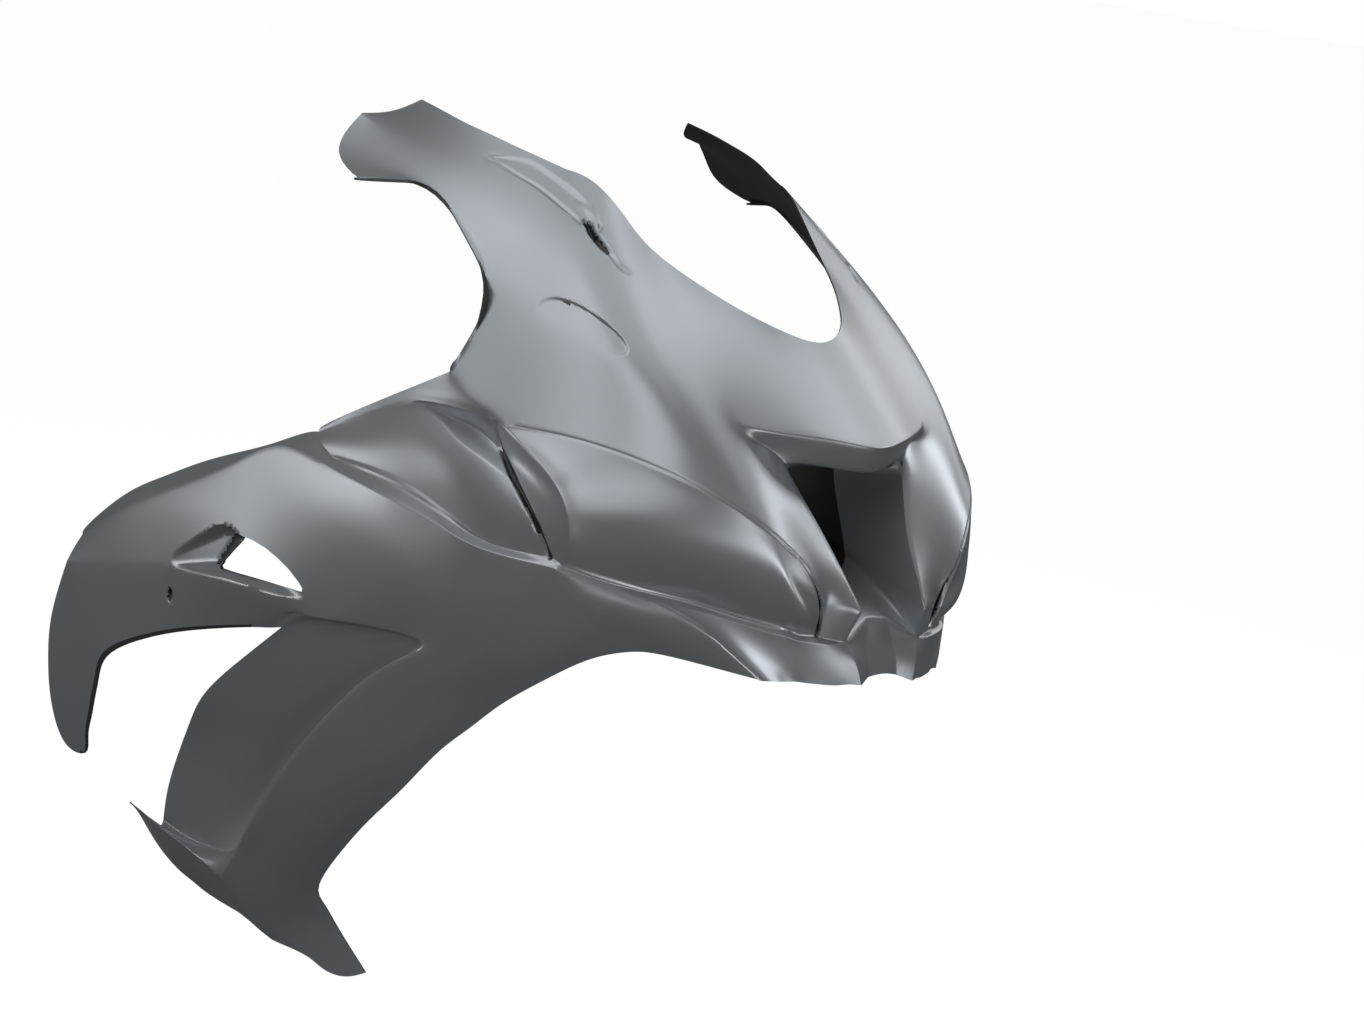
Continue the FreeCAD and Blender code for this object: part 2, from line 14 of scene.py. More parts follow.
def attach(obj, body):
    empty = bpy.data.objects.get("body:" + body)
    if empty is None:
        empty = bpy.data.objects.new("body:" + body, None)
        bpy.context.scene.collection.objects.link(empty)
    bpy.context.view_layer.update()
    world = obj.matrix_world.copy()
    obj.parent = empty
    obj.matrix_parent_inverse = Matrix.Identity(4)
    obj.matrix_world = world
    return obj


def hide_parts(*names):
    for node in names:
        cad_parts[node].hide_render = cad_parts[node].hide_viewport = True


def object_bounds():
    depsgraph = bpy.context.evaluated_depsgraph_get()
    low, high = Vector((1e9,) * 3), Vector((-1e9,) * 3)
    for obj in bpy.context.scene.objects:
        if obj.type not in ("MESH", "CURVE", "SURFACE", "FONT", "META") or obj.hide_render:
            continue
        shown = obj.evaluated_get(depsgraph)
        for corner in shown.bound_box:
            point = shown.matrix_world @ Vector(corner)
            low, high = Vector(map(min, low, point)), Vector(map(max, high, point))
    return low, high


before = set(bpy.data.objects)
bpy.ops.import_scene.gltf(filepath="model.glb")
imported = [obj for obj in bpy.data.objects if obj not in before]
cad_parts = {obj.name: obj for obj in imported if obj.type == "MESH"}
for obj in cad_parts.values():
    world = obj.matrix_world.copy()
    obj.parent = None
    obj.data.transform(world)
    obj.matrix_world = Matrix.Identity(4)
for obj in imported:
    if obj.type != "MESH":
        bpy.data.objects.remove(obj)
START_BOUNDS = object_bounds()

log = logging.getLogger("fairing_scene")

Point = tuple[float, float, float]
Line = list[Point]
Rows = list[Line]
Colour = tuple[float, float, float]
Outline = tuple[tuple[float, float], ...]

MM = 0.001

# Names of the values that a mesh carries on its faces and edges
CALM = "calm"
CRISP = "crisp"
EDGE_CREASE = "crease_edge"
POINT_CREASE = "crease_vert"

# Crease weight from which a line is rounded as a crisp one
CRISP_FROM = 0.69

# How many divisions a crease of full weight outlasts
FULL_CREASE = 10

# How much of the skirt's depth is left at each station on the side without a side panel
SKIRT_TAPER = (0.3, 0.5, 0.8)

# Body lines of the shell in millimetres: (x, distance from the centre plane, z)

# Edge of the windscreen opening, then the crown below it and the crest below that
SCREEN_EDGE = [
    (340, 0, 273), (326, 36, 281), (299, 61, 292), (267, 82, 306), (235, 97, 320), (208, 106, 335),
    (183, 111, 353), (159, 117, 368), (143, 122, 374), (133, 126, 376), (123, 130, 377),
    (98, 139, 382), (73, 149, 387), (46, 156, 392), (17, 161, 396), (-14, 163, 401), (-52, 163, 406),
]
BROW = [
    (384, 0, 241), (375, 36, 247), (355, 69, 255), (327, 104, 260), (298, 127, 277), (270, 143, 291),
    (237, 153, 310), (201, 159, 327), (174, 159, 338), (158, 160, 342), (144, 161, 346),
    (118, 163, 355), (93, 166, 364), (63, 172, 374), (31, 175, 382), (-13, 179, 386), (-72, 179, 391),
]
CREST = [
    (433, 0, 204), (424, 34, 207), (408, 63, 208), (373, 114, 210), (353, 140, 228), (322, 162, 248),
    (288, 175, 265), (249, 184, 282), (210, 188, 295), (189, 190, 299), (168, 189, 304),
    (137, 186, 321), (113, 183, 339), (80, 186, 354), (44, 189, 368), (-9, 198, 372), (-80, 206, 386),
]

# Side of the intake, and the three lines of the flank behind it
INTAKE_EDGE = [
    (480, 37, 77), (462, 42, 99), (435, 49, 129), (394, 71, 183), (381, 96, 198),
]
UPPER_FLANK = [
    (476, 49, 79), (457, 54, 103), (433, 65, 133), (415, 81, 161), (401, 107, 184), (398, 118, 184),
    (378, 144, 203), (348, 166, 223), (312, 179, 244), (271, 190, 261), (229, 197, 272),
    (205, 202, 272), (183, 209, 275), (161, 205, 296), (134, 197, 320), (93, 194, 341), (51, 195, 357),
    (2, 213, 360), (-80, 221, 368),
]
VALLEY = [
    (466, 63, 79), (462, 72, 102), (451, 86, 124), (441, 99, 138), (428, 115, 153), (422, 122, 158),
    (401, 144, 177), (371, 166, 199), (332, 181, 221), (288, 192, 242), (243, 205, 245),
    (215, 212, 240), (187, 223, 240), (169, 219, 266), (150, 207, 299), (104, 204, 327),
    (56, 203, 348), (9, 224, 348), (-69, 233, 348),
]
LOWER_FLANK = [
    (466, 71, 78), (466, 77, 92), (464, 88, 107), (457, 98, 120), (443, 116, 135), (436, 124, 141),
    (418, 143, 153), (387, 168, 166), (344, 193, 175), (289, 216, 178), (226, 235, 173),
    (187, 239, 188), (147, 241, 200), (152, 228, 230), (154, 219, 273), (109, 215, 309),
    (56, 212, 338), (14, 226, 342), (-24, 241, 335),
]

# Turned edge of the handlebar cutout
CUTOUT_EDGE = [
    (149, 240, 208), (146, 225, 230), (148, 216, 272), (104, 212, 307), (49, 209, 338), (10, 222, 338),
    (-30, 238, 332),
]

# Lip over the intake
LIP_EDGE = [
    (423, 0, 180), (414, 31, 182),
]

# Rows over the closed lamp bulge, from its top to its foot
LAMP = [
    [(286, 240, 153), (329, 227, 154), (373, 199, 149), (406, 165, 141), (430, 136, 128),
     (445, 117, 117), (452, 110, 111), (459, 101, 104)],
    [(315, 236, 130), (350, 222, 126), (387, 189, 123), (416, 154, 115), (439, 125, 105),
     (453, 107, 96), (460, 101, 90), (466, 94, 86)],
    [(324, 233, 102), (355, 213, 98), (389, 178, 95), (417, 142, 89), (441, 115, 81), (456, 100, 75),
     (461, 94, 72), (467, 88, 70)],
]

# Groove below the lamp and the cheek, and the foot of the ridge beside the intake
GROOVE_INNER = [
    (18, 256, 89), (82, 258, 94), (136, 257, 93), (182, 254, 86), (239, 250, 75), (306, 234, 81),
    (317, 229, 78), (342, 201, 71), (368, 168, 66), (394, 140, 63), (422, 117, 59), (443, 99, 57),
    (450, 92, 56), (456, 85, 55),
]
GROOVE_OUTER = [
    (11, 261, 83), (93, 267, 82), (146, 267, 80), (195, 265, 77), (247, 260, 72), (307, 238, 74),
    (319, 231, 71), (344, 206, 65), (371, 174, 61), (397, 145, 58), (425, 121, 54), (447, 102, 51),
    (454, 95, 51), (460, 88, 49), (468, 71, 48), (472, 57, 47), (474, 41, 46),
]
RIDGE_FOOT = [
    (463, 68, 53), (468, 55, 50), (472, 41, 50),
]

# Cheek behind the lamp
CHEEK_TOP = [
    (-10, 250, 113), (42, 247, 143), (94, 242, 172),
]
CHEEK = [
    [(-17, 250, 105), (42, 248, 136), (99, 243, 163), (154, 243, 171), (191, 240, 173),
     (209, 234, 171)],
    [(-12, 252, 101), (47, 250, 128), (103, 243, 162), (147, 236, 161), (177, 230, 159),
     (219, 230, 149)],
    [(-4, 254, 96), (55, 253, 120), (108, 245, 159), (171, 249, 151), (213, 247, 142), (254, 239, 130)],
    [(7, 255, 93), (66, 256, 109), (125, 254, 131), (183, 255, 122), (232, 250, 107), (289, 240, 104)],
]

# Skirt below the groove, and the chin below the intake
SKIRT_MIDDLE = [
    (341, 210, 47), (365, 188, 41), (411, 147, 46), (434, 128, 37), (444, 113, 36), (457, 96, 36),
    (461, 90, 35), (466, 82, 33), (473, 65, 33), (477, 51, 32), (483, 36, 32),
]
SKIRT_EDGE = [
    (354, 172, 10), (382, 153, 14), (443, 113, 12), (450, 101, 11), (456, 93, 12), (461, 82, 13),
    (466, 75, 13), (471, 66, 13), (478, 51, 13), (483, 41, 15), (488, 31, 15),
]
CHIN = [
    [(462, 12, 65), (464, 0, 66)],
    [(470, 15, 46), (471, 0, 47)],
    [(477, 17, 32), (477, 0, 32)],
    [(481, 17, 19), (481, 0, 21)],
]

# Mouth of the duct: where the paint ends, and the rear edge
DUCT_WALL_PAINT = [
    (377, 40, 89), (373, 41, 96), (369, 42, 104), (357, 45, 122), (335, 50, 155),
]
DUCT_WALL_BACK = [
    (282, 40, 97), (278, 41, 104), (274, 42, 112), (262, 45, 130), (240, 50, 163),
]
DUCT_ROOF_PAINT = [
    (348, 0, 176), (332, 49, 176),
]
DUCT_ROOF_BACK = [
    (253, 0, 184), (237, 49, 184),
]
DUCT_FLOOR_PAINT = [
    (395, 0, 79), (390, 20, 80),
]
DUCT_FLOOR_BACK = [
    (300, 0, 87), (295, 20, 88),
]

# Haunch of the side panel and the lower leg
HAUNCH = [
    [(200, 266, 44), (244, 260, 41), (281, 249, 39), (310, 230, 34), (324, 214, 17), (326, 190, -4)],
    [(197, 263, 7), (233, 258, 4), (261, 249, -2), (280, 237, -10), (291, 224, -19), (296, 207, -30)],
    [(186, 256, -31), (207, 254, -33), (226, 250, -39), (240, 243, -46), (252, 232, -54),
     (259, 220, -63)],
]
LEG = [
    [(132, 257, -70), (155, 254, -74), (177, 249, -79), (196, 243, -84), (213, 236, -89),
     (227, 225, -96)],
    [(79, 255, -118), (106, 253, -119), (130, 249, -121), (154, 244, -122), (175, 238, -125),
     (192, 228, -130)],
    [(29, 251, -171), (57, 249, -171), (85, 246, -172), (111, 242, -172), (133, 235, -174),
     (150, 226, -178)],
    [(-19, 245, -231), (9, 243, -229), (38, 240, -227), (64, 236, -224), (85, 230, -224),
     (103, 221, -225)],
    [(-58, 238, -286), (-31, 236, -283), (-4, 233, -280), (20, 229, -277), (42, 222, -275),
     (58, 213, -273)],
    [(-88, 230, -331), (-63, 228, -328), (-38, 226, -327), (-16, 221, -326), (3, 214, -325),
     (18, 205, -325)],
    [(-107, 228, -364), (-79, 224, -363), (-51, 220, -361), (-24, 214, -356), (-1, 206, -351),
     (19, 195, -346)],
    [(-89, 214, -394), (-67, 213, -394), (-44, 211, -390), (-15, 204, -382), (11, 194, -372),
     (31, 185, -366)],
    [(-53, 207, -402), (-34, 206, -403), (4, 198, -402), (25, 192, -408), (48, 183, -408),
     (66, 172, -398)],
]

# Arm of the side panel and the tab at its rear end
ARM = [
    [(146, 267, 80), (145, 268, 40), (133, 264, 0), (105, 257, -40)],
    [(93, 267, 82), (80, 267, 35), (47, 259, -36), (26, 257, -57)],
    [(11, 261, 83), (-2, 263, 33), (-3, 259, -47), (-9, 254, -61)],
    [(-69, 256, 79), (-79, 258, 23), (-74, 260, -59), (-86, 246, -102)],
    [(-138, 253, 44), (-143, 255, 1), (-138, 259, -66), (-154, 243, -125)],
    [(-195, 250, 14), (-212, 252, -26), (-218, 251, -82), (-216, 241, -148)],
    [(-262, 247, -20), (-282, 247, -53), (-285, 247, -101), (-268, 238, -170)],
    [(-346, 240, -60), (-354, 241, -81), (-356, 241, -121), (-323, 234, -197)],
    [(-428, 231, -110), (-440, 231, -126), (-449, 233, -145), (-363, 229, -225)],
]
TAB = [
    [(-472, 226, -184), (-377, 224, -252)],
    [(-488, 221, -227), (-388, 219, -277)],
    [(-490, 216, -272), (-396, 215, -299)],
    [(-483, 211, -312), (-405, 211, -322)],
    [(-458, 205, -349), (-413, 206, -345)],
]

# Panel sunk behind the lip of the leg, and the ledge under it
EXIT_PANEL = [
    [(178, 250, -33), (92, 249, -47), (15, 248, -64), (-38, 247, -87)],
    [(111, 241, -78), (38, 240, -99), (-36, 239, -119), (-101, 238, -135)],
    [(47, 231, -131), (-28, 230, -156), (-99, 229, -175), (-173, 228, -194)],
    [(-15, 219, -189), (-77, 219, -207), (-143, 218, -224), (-210, 217, -238)],
    [(-69, 209, -252), (-123, 209, -265), (-182, 208, -274), (-238, 207, -280)],
    [(-102, 207, -306), (-153, 206, -316), (-206, 205, -322), (-254, 204, -325)],
    [(-112, 212, -339), (-168, 206, -356), (-213, 204, -362), (-258, 202, -362)],
]
LEDGE_ROOT = [
    (-155, 212, -353), (-201, 210, -362), (-252, 208, -365),
]
LEDGE_EDGE = [
    (-159, 223, -362), (-229, 216, -363), (-318, 206, -365),
]
LEDGE_FOOT = [
    (-189, 194, -410), (-269, 190, -403), (-332, 182, -386),
]

# Flange along the top of the arm
ARM_TOP = [
    (-27, 244, 103), (-82, 248, 78), (-148, 244, 51), (-215, 241, 23), (-282, 239, -10),
    (-351, 235, -46), (-425, 228, -99),
]

# Single points where several forms meet
TONGUE = (3, 246, 96)
LAMP_FRONT = (465, 69, 65)
ARM_CORNER = (-65, 244, -96)


class Side(Enum):
    """The two sides of the motorcycle, as the sign of Y."""

    RIGHT = -1
    LEFT = 1


class Skin(Enum):
    """Material places on the shell's mesh."""

    PRIMER = 0
    # Black laminate of the inner skin, rims and hole walls; also painted shade in deep slots, gaps and the
    # rear of the duct, and a black band along the trimmed edge
    RAW_AND_SHADE = 1


def on_side(line: Line, side: Side) -> Line:
    """The line's points on one side of the motorcycle."""
    return [(x, y * side.value, z) for x, y, z in line]


def across(line: Line) -> Line:
    """A line that starts on the centre plane, carried over to both sides."""
    return on_side(line[:0:-1], Side.LEFT) + on_side(line, Side.RIGHT)


def placed(name: str, data: bpy.types.ID) -> bpy.types.Object:
    """A new object in the scene.

    Args:
        name: Its name.
        data: The mesh, lamp or camera that it carries.

    Returns:
        The object.
    """
    thing = bpy.data.objects.new(name, data)
    bpy.context.scene.collection.objects.link(thing)
    return thing


def remade(thing: bpy.types.Object) -> bpy.types.Mesh:
    """A new mesh that is what the object's modifiers make of its own."""
    graph = bpy.context.evaluated_depsgraph_get()
    return bpy.data.meshes.new_from_object(thing.evaluated_get(graph))


@dataclass
class BodyLines:
    """The drawing of the shell: grids of points between the body lines, and how sharp each line is."""

    crown_calm: float = 1.0
    flank_calm: float = 1.0
    lamp_calm: float = 0.5
    skirt_calm: float = 0.6
    grids: list[tuple[Rows, int]] = field(default_factory=list)
    creases: list[tuple[Line, float]] = field(default_factory=list)
    corners: list[Point] = field(default_factory=list)
    calm: dict[int, float] = field(default_factory=dict)

    def draw(self) -> None:
        """Fill in the grids and the creases of both sides."""
        self.grids += self.middle()
        self.calm[0] = self.crown_calm
        for side in Side:
            skirt = (SKIRT_MIDDLE, SKIRT_EDGE)
            if side is Side.LEFT:
                skirt = (self.tapered(SKIRT_MIDDLE), self.tapered(SKIRT_EDGE))
            parts = self.nose() + [([GROOVE_OUTER[6:], *skirt], -1)]
            first = len(self.grids)
            self.calm[first] = self.flank_calm
            self.calm[first + 1] = self.lamp_calm
            self.calm[first + len(parts) - 1] = self.skirt_calm
            if side is Side.RIGHT:
                parts += self.side_panel()
            for rows, turn in parts:
                self.grids.append(([on_side(line, side) for line in rows], -turn * side.value))
            self.creases += [(on_side(line, side), weight) for line, weight in self.nose_creases(skirt)]
        self.creases += [(on_side(line, Side.RIGHT), weight) for line, weight in self.panel_creases()]
        self.creases += self.middle_creases()
        for side in Side:
            self.corners += on_side([CREST[16], SCREEN_EDGE[16]], side)
        self.corners += on_side([ARM[2][3], EXIT_PANEL[0][3], LEDGE_EDGE[2], LEG[8][5]], Side.RIGHT)

    def duct_rear(self) -> list[Point]:
        """The rear edge of the duct, behind which the walls are black laminate, which also stands in as
        painted shade deep in the duct.
        """
        wall = on_side(DUCT_WALL_BACK, Side.LEFT) + on_side(DUCT_WALL_BACK, Side.RIGHT)
        return wall + across(DUCT_ROOF_BACK) + across(DUCT_FLOOR_BACK)

    def chin(self) -> Rows:
        """The lines over the chin below the intake, from side to side."""
        side = [RIDGE_FOOT[2], GROOVE_OUTER[16], SKIRT_MIDDLE[10], SKIRT_EDGE[10]]
        return [across([centre, inner, edge]) for edge, (inner, centre) in zip(side, CHIN)]

    def middle(self) -> list[tuple[Rows, int]]:
        """The grids that cross the centre plane.

        Returns:
            Each grid's rows, and 1 or -1 for the way round its faces run.
        """
        lip = LIP_EDGE + INTAKE_EDGE[3:]
        roof = [across(DUCT_ROOF_PAINT + DUCT_WALL_PAINT[-1:]),
                across(DUCT_ROOF_BACK + DUCT_WALL_BACK[-1:])]
        sill = across([CHIN[0][1], CHIN[0][0], RIDGE_FOOT[2]])
        floor = [across(DUCT_FLOOR_PAINT + DUCT_WALL_PAINT[:1]),
                 across(DUCT_FLOOR_BACK + DUCT_WALL_BACK[:1])]
        return [
            ([across(SCREEN_EDGE), across(BROW), across(CREST)], 1),
            ([across(CREST[:4]), across(lip)], 1),
            ([across(lip[:3]), roof[0]], 1),
            (roof, 1),
            ([sill, floor[0]], -1),
            (floor, -1),
            (self.chin(), 1),
        ]

    def middle_creases(self) -> list[tuple[Line, float]]:
        """The creases that cross the centre plane.

        Returns:
            Each line with its crease weight.
        """
        lip = across(LIP_EDGE + INTAKE_EDGE[3:])
        keel = [(on_side([row[0] for row in CHIN], side), 0.8) for side in Side]
        return [(across(CREST[:4]), 0.75), (lip, 0.85), *zip(self.chin(), (0.8, 0.3, 0.0, 0.0)), *keel]

    def nose(self) -> list[tuple[Rows, int]]:
        """The grids of one side of the nose: flank, lamp bulge, cheek, groove and duct wall.

        Returns:
            Each grid's rows, and 1 or -1 for the way round its faces run.
        """
        flank = [INTAKE_EDGE + CREST[3:], UPPER_FLANK, VALLEY, LOWER_FLANK]
        rim = LOWER_FLANK
        lamp = [rim[10:2:-1]] + LAMP + [GROOVE_INNER[6:]]
        lamp_front = [[rim[3], LAMP[0][7], LAMP[1][7], LAMP[2][7], GROOVE_INNER[13]],
                      [rim[2], rim[1], rim[0], LAMP_FRONT, RIDGE_FOOT[0]]]
        lamp_foot = [[rim[0], LAMP_FRONT], [VALLEY[0], RIDGE_FOOT[0]]]
        cheek = [CHEEK_TOP + [rim[12], rim[11], rim[10]]] + CHEEK + [GROOVE_INNER[:6]]
        behind_lamp = [[rim[10], CHEEK[0][5]], [LAMP[0][0], CHEEK[1][5]], [LAMP[1][0], CHEEK[2][5]],
                       [LAMP[2][0], CHEEK[3][5]], [GROOVE_INNER[6], GROOVE_INNER[5]]]
        ridge_end = [RIDGE_FOOT[::-1], [INTAKE_EDGE[0], UPPER_FLANK[0], VALLEY[0]]]
        groove = [GROOVE_INNER + RIDGE_FOOT, GROOVE_OUTER]
        return [(flank, 1), (lamp, -1), (lamp_front, 1), (lamp_foot, 1), (cheek, -1), (behind_lamp, 1),
                (ridge_end, -1), (groove, -1), ([[RIDGE_FOOT[2]] + INTAKE_EDGE[:4], DUCT_WALL_PAINT], -1),
                ([DUCT_WALL_PAINT, DUCT_WALL_BACK], -1), ([LOWER_FLANK[12:], CUTOUT_EDGE], 1)]

    def nose_creases(self, skirt: tuple[Line, Line]) -> list[tuple[Line, float]]:
        """The creases of one side of the nose.

        Args:
            skirt: The middle line and the lower edge of this side's skirt.

        Returns:
            Each line with its crease weight.
        """
        rim = LOWER_FLANK
        return [
            (INTAKE_EDGE, 0.6),
            ([INTAKE_EDGE[0], RIDGE_FOOT[2]], 0.85),
            ([RIDGE_FOOT[2], GROOVE_OUTER[16], skirt[0][10], skirt[1][10]], 0.8),
            (UPPER_FLANK[:4], 0.2),
            (rim[:11], 0.85),
            (rim[12:], 0.8),
            ([rim[10], LAMP[0][0], LAMP[1][0], LAMP[2][0], GROOVE_INNER[6]], 0.85),
            ([rim[10], CHEEK[0][5], CHEEK[1][5], CHEEK[2][5], CHEEK[3][5], GROOVE_INNER[5]], 0.7),
            ([rim[0], LAMP_FRONT, RIDGE_FOOT[0]], 0.9),
            ([rim[0], VALLEY[0], UPPER_FLANK[0], INTAKE_EDGE[0]], 0.6),
            (GROOVE_INNER[6:], 0.85),
            (GROOVE_OUTER[6:], 0.7),
            (GROOVE_INNER[:7], 0.8),
            (GROOVE_OUTER[:7], 0.75),
            (RIDGE_FOOT, 0.7),
            (CHEEK_TOP + [rim[12], rim[11], rim[10]], 0.4),
            (CHEEK[0][2:], 0.9),
            (CHEEK[1][2:], 0.6),
            (CHEEK[2][2:], 0.8),
            (skirt[0][4:], 0.15),
            ([GROOVE_OUTER[8], skirt[0][2], skirt[1][2]], 0.4),
        ]

    def side_panel(self) -> list[tuple[Rows, int]]:
        """The grids of the side panel: haunch, leg, arm, tab, exit panel, its step and the ledge below.

        Returns:
            Each grid's rows, and 1 or -1 for the way round its faces run.
        """
        haunch = [GROOVE_OUTER[3:7] + [SKIRT_MIDDLE[0], SKIRT_EDGE[0]]] + HAUNCH
        leg = [HAUNCH[2]] + LEG
        arm = [[haunch[0][0], HAUNCH[0][0], HAUNCH[1][0], HAUNCH[2][0]]] + ARM
        flange = [ARM_TOP, [GROOVE_OUTER[0]] + [line[0] for line in ARM[3:]]]
        tongue = [[ARM_TOP[0], TONGUE], [GROOVE_OUTER[0], GROOVE_INNER[0]]]
        corner = [[ARM[3][3], ARM[2][3]], [ARM_CORNER, EXIT_PANEL[0][3]]]
        tab = [ARM[8][2:]] + TAB
        lip = [HAUNCH[2][0]] + [line[0] for line in LEG[:6]]
        top = [HAUNCH[2][0]] + [line[3] for line in ARM[:3]]
        step = [lip, [line[0] for line in EXIT_PANEL]]
        ledge = [EXIT_PANEL[6], [LEG[5][0]] + LEDGE_ROOT, [LEG[6][0]] + LEDGE_EDGE,
                 [LEG[7][0]] + LEDGE_FOOT]
        return [(haunch, -1), (leg, -1), (arm, -1), (tab, -1), (EXIT_PANEL, 1),
                ([top, EXIT_PANEL[0]], 1), (step, -1), (ledge, 1),
                (flange, 1), (tongue, -1), (corner, -1)]

    def panel_creases(self) -> list[tuple[Line, float]]:
        """The creases of the side panel.

        Returns:
            Each line with its crease weight.
        """
        lip = [HAUNCH[2][0]] + [line[0] for line in LEG[:6]]
        top = [HAUNCH[2][0]] + [line[3] for line in ARM[:3]]
        return [
            (lip, 0.62),
            (top, 0.66),
            ([line[0] for line in EXIT_PANEL], 0.6),
            (EXIT_PANEL[0], 0.6),
            (EXIT_PANEL[6], 0.8),
            ([LEG[5][0]] + LEDGE_ROOT, 0.8),
            ([LEG[6][0]] + LEDGE_EDGE, 0.8),
            ([line[0] for line in LEG[5:8]], 0.8),
            ([GROOVE_OUTER[0]] + [line[0] for line in ARM[3:6]], 0.68),
            ([line[0] for line in ARM[5:]], 0.5),
            ([line[2] for line in ARM[2:6]], 0.5),
            ([line[2] for line in ARM[5:]], 0.68),
            ([line[1] for line in ARM[3:7]], 0.35),
            ([ARM[2][3], EXIT_PANEL[0][3]], 0.7),
        ]

    def tapered(self, line: Line) -> Line:
        """A skirt line that runs out towards the groove at its rear end.

        Args:
            line: The skirt line of the side that has a side panel.

        Returns:
            The line with its rear stations pulled up by SKIRT_TAPER.
        """
        out = list(line)
        for station, share in enumerate(SKIRT_TAPER):
            top = GROOVE_OUTER[6 + station]
            out[station] = tuple(a + share * (b - a) for a, b in zip(top, line[station]))
        return out


@dataclass
class Cage:
    """The quad cage of the shell's outer side, drawn on the body lines."""

    points: np.ndarray
    faces: list[list[int]]
    places: list[int]
    creases: dict[tuple[int, int], float]
    corners: list[int]
    calm: list[float]

    @classmethod
    def from_lines(cls, lines: BodyLines) -> "Cage":
        """Number the drawing's points and collect its quads and creases.

        Args:
            lines: The filled-in drawing.

        Returns:
            The cage, in millimetres.
        """
        numbers: dict[Point, int] = {}
        for rows, _ in lines.grids:
            for line in rows:
                for point in line:
                    numbers.setdefault(point, len(numbers))
        # Faces that touch the duct's rear edge take the black laminate, which also stands in as painted
        # shade deep in the duct
        blacken = {numbers[point] for point in lines.duct_rear()}
        faces, places, calm = [], [], []
        for number, (rows, turn) in enumerate(lines.grids):
            for upper, lower in zip(rows, rows[1:]):
                for a, b, c, d in zip(upper, upper[1:], lower[1:], lower):
                    ring = [numbers[p] for p in (a, b, c, d)]
                    faces.append(ring if turn > 0 else ring[::-1])
                    places.append(Skin.RAW_AND_SHADE.value if blacken & set(ring) else Skin.PRIMER.value)
                    calm.append(lines.calm.get(number, 0.0))
        creases = {}
        for line, weight in lines.creases:
            for a, b in zip(line, line[1:]):
                key = tuple(sorted((numbers[a], numbers[b])))
                creases[key] = max(weight, creases.get(key, 0.0))
        corners = [numbers[point] for point in lines.corners]
        return cls(np.array(list(numbers), float), faces, places, creases, corners, calm)

    def mesh(self, points: np.ndarray) -> bpy.types.Mesh:
        """The cage as a mesh with its creases.

        Args:
            points: Where the cage's vertices are, in millimetres.

        Returns:
            The mesh, in metres.
        """
        mesh = bpy.data.meshes.new("cage")
        mesh.from_pydata((points * MM).tolist(), [], self.faces)
        mesh.update(calc_edges=True)
        mesh.polygons.foreach_set("material_index", self.places)
        crease = mesh.attributes.new(EDGE_CREASE, "FLOAT", "EDGE")
        crisp = mesh.attributes.new(CRISP, "FLOAT", "EDGE")
        for edge in mesh.edges:
            weight = self.creases.get(tuple(sorted(edge.vertices)), 0.0)
            crease.data[edge.index].value = weight
            crisp.data[edge.index].value = float(weight >= CRISP_FROM)
        mesh.attributes.new(CALM, "FLOAT", "FACE").data.foreach_set("value", self.calm)
        corner = mesh.attributes.new(POINT_CREASE, "FLOAT", "POINT")
        for number in self.corners:
            corner.data[number].value = 1.0
        return mesh

    def fitted(self, rounds: int = 4, pull: float = 0.8) -> np.ndarray:
        """Cage points moved out so that the smooth surface passes through the body lines.

        Args:
            rounds: How often the miss is measured and taken back.
            pull: The share of the miss that is taken back each time.

        Returns:
            The moved points, in millimetres.
        """
        points = self.points.copy()
        for _ in range(rounds):
            mesh = smoothed(self.mesh(points), 1)
            found = read_points(mesh)[: len(points)]
            bpy.data.meshes.remove(mesh)
            points += pull * (self.points - found)
        log.info("cage misses its lines by %.2f mm", np.abs(self.points - found).max())
        return points


def smoothed(cage: bpy.types.Mesh, levels: int) -> bpy.types.Mesh:
    """The smooth surface that a mesh stands for.

    Args:
        cage: The mesh, with its creases.
        levels: How often its faces are divided.

    Returns:
        A new mesh that lies on the limit surface.
    """
    holder = placed("cage", cage)
    modifier = holder.modifiers.new("smooth", "SUBSURF")
    modifier.levels = modifier.render_levels = levels
    modifier.boundary_smooth = "ALL"
    modifier.use_limit_surface = True
    modifier.quality = 3
    mesh = remade(holder)
    bpy.data.objects.remove(holder)
    return mesh


def eased(mesh: bpy.types.Mesh, levels: int) -> bpy.types.Mesh:
    """A copy whose creases are weaker by the divisions that the mesh has been through already.

    Args:
        mesh: The divided mesh.
        levels: How often it was divided.

    Returns:
        The copy, for dividing further.
    """
    copy = mesh.copy()
    crease = np.empty(len(copy.edges), np.float32)
    copy.attributes[EDGE_CREASE].data.foreach_get("value", crease)
    left = np.maximum(FULL_CREASE * crease**2 - levels, 0)
    copy.attributes[EDGE_CREASE].data.foreach_set("value", np.sqrt(left / FULL_CREASE))
    return copy


def read_points(mesh: bpy.types.Mesh) -> np.ndarray:
    """Where a mesh's vertices are.

    Args:
        mesh: The mesh, in metres.

    Returns:
        A row of three numbers for each vertex, in millimetres.
    """
    flat = np.empty(len(mesh.vertices) * 3)
    mesh.vertices.foreach_get("co", flat)
    return flat.reshape(-1, 3) / MM


